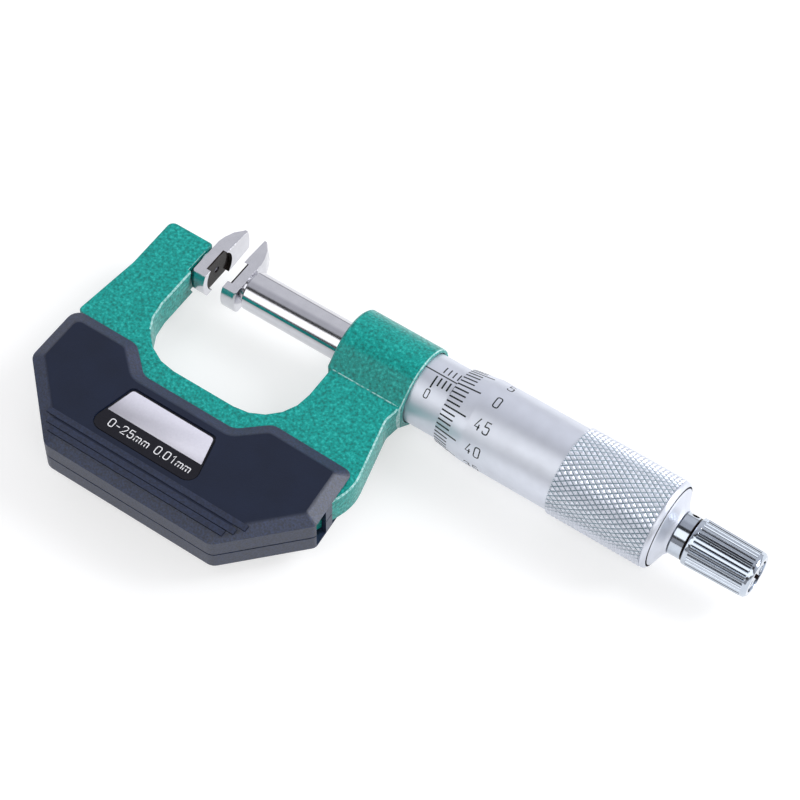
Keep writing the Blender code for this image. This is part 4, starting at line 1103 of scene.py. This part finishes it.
class MICROMETER_OT_ratchet(Operator):
    """Make the ratchet's neck, its fluted knob and its end screw"""

    bl_idname = "micrometer.ratchet"
    bl_label = "Ratchet"

    def execute(self, context):
        steel = made(polished_steel)
        neck = skin_of("ratchet_base", "ratchet_neck", bevel=0.08 * MM, angle=40.0)
        dress(neck, "thimble_body", "satin_chrome", steel, "ratchet_base")
        knob = skin_of("ratchet_knob", "fluted_knob", bevel=0.05 * MM)
        dress(knob, "ratchet_body", "satin_chrome", steel, "ratchet_knob")
        screw = skin_of("ratchet_screw", "end_screw", bevel=0.08 * MM, angle=35.0)
        end = (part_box("ratchet_screw")[1].x, AXIS_Y, AXIS_Z)
        cutter = box("slot_cutter", end, SLOT_SIZE, SLOT_TURN)
        apply_modifier(screw, "BOOLEAN", operation="DIFFERENCE", object=cutter, solver="EXACT")
        bpy.data.objects.remove(cutter)
        tidy_shell(screw, 35)
        dress(screw, "thimble_body", "satin_chrome", steel, "ratchet_screw")
        return {"FINISHED"}


class MICROMETER_OT_inside(Operator):
    """Finish the pieces inside the barrel and the knob"""

    bl_idname = "micrometer.inside"
    bl_label = "Inner pieces"

    def execute(self, context):
        finishes = {"inner_sleeve": turned_brass, "adjusting_nut": blackened_steel}
        for node in ("inner_sleeve", "adjusting_nut", "measuring_screw", "thrust_ball",
                     "coupling_nut", "ratchet_disc", "ratchet_spring"):
            materials = NODES[node].data.materials
            materials.clear()
            materials.append(made(finishes.get(node, lapped_steel)))
        return {"FINISHED"}


class MICROMETER_OT_stage(Operator):
    """Set the floor, the lamps, the surroundings and the camera"""

    bl_idname = "micrometer.stage"
    bl_label = "Stage"

    def execute(self, context):
        deselect()
        bpy.ops.mesh.primitive_plane_add(size=FLOOR_SIZE, location=(0.0, 0.0, FLOOR_Z))
        floor = context.object
        floor.name = "studio_floor"
        floor.data.materials.append(made(pale_floor))

        for name, place, size, power in LAMPS:
            light = bpy.data.lights.new(name, "AREA")
            light.shape = "SQUARE"
            light.size = size
            light.energy = power
            light.color = LAMP_COLOUR
            lamp = bpy.data.objects.new(name, light)
            context.scene.collection.objects.link(lamp)
            lamp.location = place
            lamp.rotation_euler = (-Vector(place)).to_track_quat("-Z", "Y").to_euler()
        context.scene.world = studio_world()

        camera = bpy.data.cameras.new("photo_camera")
        camera.sensor_width = 36.0
        camera.lens = CAMERA_LENS
        camera.clip_start = 0.01
        view = bpy.data.objects.new("photo_camera", camera)
        context.scene.collection.objects.link(view)
        x, y, z = CAMERA_PLACE
        eye = Vector((FACE_X + x, AXIS_Y + y, AXIS_Z + z))
        turn = Euler([math.radians(angle) for angle in CAMERA_TURN])
        view.matrix_world = Matrix.LocRotScale(eye, turn, None)
        context.scene.camera = view
        context.scene.view_settings.view_transform = "Standard"
        return {"FINISHED"}


def studio_world():
    """Panels and dark gaps round the spindle's axis, leaning over the jaws, and a horizon."""
    world = bpy.data.worlds.new("studio_surroundings")
    world.use_nodes = True
    nodes = Nodes(world.node_tree)
    sight = nodes.node("ShaderNodeTexCoord", {}).outputs["Generated"]
    x, y, z = nodes.node("ShaderNodeSeparateXYZ", {"Vector": sight}).outputs
    turn = nodes.span(nodes.calc("ARCTAN2", y, z), 0.0, 1.0, -math.pi / 2, math.pi / 2)
    lean = nodes.span(x, WORLD_LEAN, 0.0, *WORLD_LEAN_X)
    stops = [(place, colour) for start, stop, colour in WORLD_BANDS
             for place in (start, stop)]
    panels = nodes.ramp(nodes.calc("ADD", turn, lean), *stops)
    rise = nodes.span(z, 0.0, 1.0, *WORLD_RISE_Z)
    sky = nodes.blend(rise, (*WORLD_HORIZON, 1.0), panels)
    nodes.fill(nodes.tree.nodes["Background"], {"Color": sky, "Strength": WORLD_STRENGTH})
    return world


def pale_floor(name):
    """A matt pale floor that keeps the shadow and shows as white in front of the lens."""
    material = bpy.data.materials.new(name)
    material.use_nodes = True
    nodes = Nodes(material.node_tree)
    nodes.tree.nodes.clear()
    rays = nodes.node("ShaderNodeLightPath", {}).outputs
    seen = nodes.any_of(rays["Is Camera Ray"], rays["Is Glossy Ray"],
                        rays["Is Transmission Ray"])
    strength = nodes.calc("MULTIPLY", seen, FLOOR_GLOW)
    matt = nodes.node("ShaderNodeBsdfDiffuse", {"Color": FLOOR_COLOUR})
    glow = nodes.node("ShaderNodeEmission", {"Color": WHITE, "Strength": strength})
    total = nodes.node("ShaderNodeAddShader", {0: matt.outputs[0], 1: glow.outputs[0]})
    nodes.node("ShaderNodeOutputMaterial", {"Surface": total.outputs[0]})
    return material


OPERATORS = (
    MICROMETER_OT_frame, MICROMETER_OT_covers, MICROMETER_OT_label, MICROMETER_OT_jaws,
    MICROMETER_OT_spindle, MICROMETER_OT_barrel, MICROMETER_OT_thimble,
    MICROMETER_OT_ratchet, MICROMETER_OT_inside, MICROMETER_OT_stage,
)


class MICROMETER_PT_panel(Panel):
    """The sidebar panel that lists the pieces"""

    bl_idname = "MICROMETER_PT_panel"
    bl_label = "Jaw micrometer"
    bl_space_type = "VIEW_3D"
    bl_region_type = "UI"
    bl_category = "Micrometer"

    def draw(self, context):
        look = context.scene.micrometer_finish
        for key in MicrometerFinish.__annotations__:
            self.layout.prop(look, key)
        for operator in OPERATORS:
            self.layout.operator(operator.bl_idname)


CLASSES = (MicrometerFinish, *OPERATORS, MICROMETER_PT_panel)


def register():
    for item in CLASSES:
        bpy.utils.register_class(item)
    bpy.types.Scene.micrometer_finish = PointerProperty(type=MicrometerFinish)


def unregister():
    del bpy.types.Scene.micrometer_finish
    for item in reversed(CLASSES):
        bpy.utils.unregister_class(item)


def main():
    register()
    for operator in OPERATORS:
        group, name = operator.bl_idname.split(".")
        getattr(getattr(bpy.ops, group), name)()


if __name__ == "__main__":
    main()
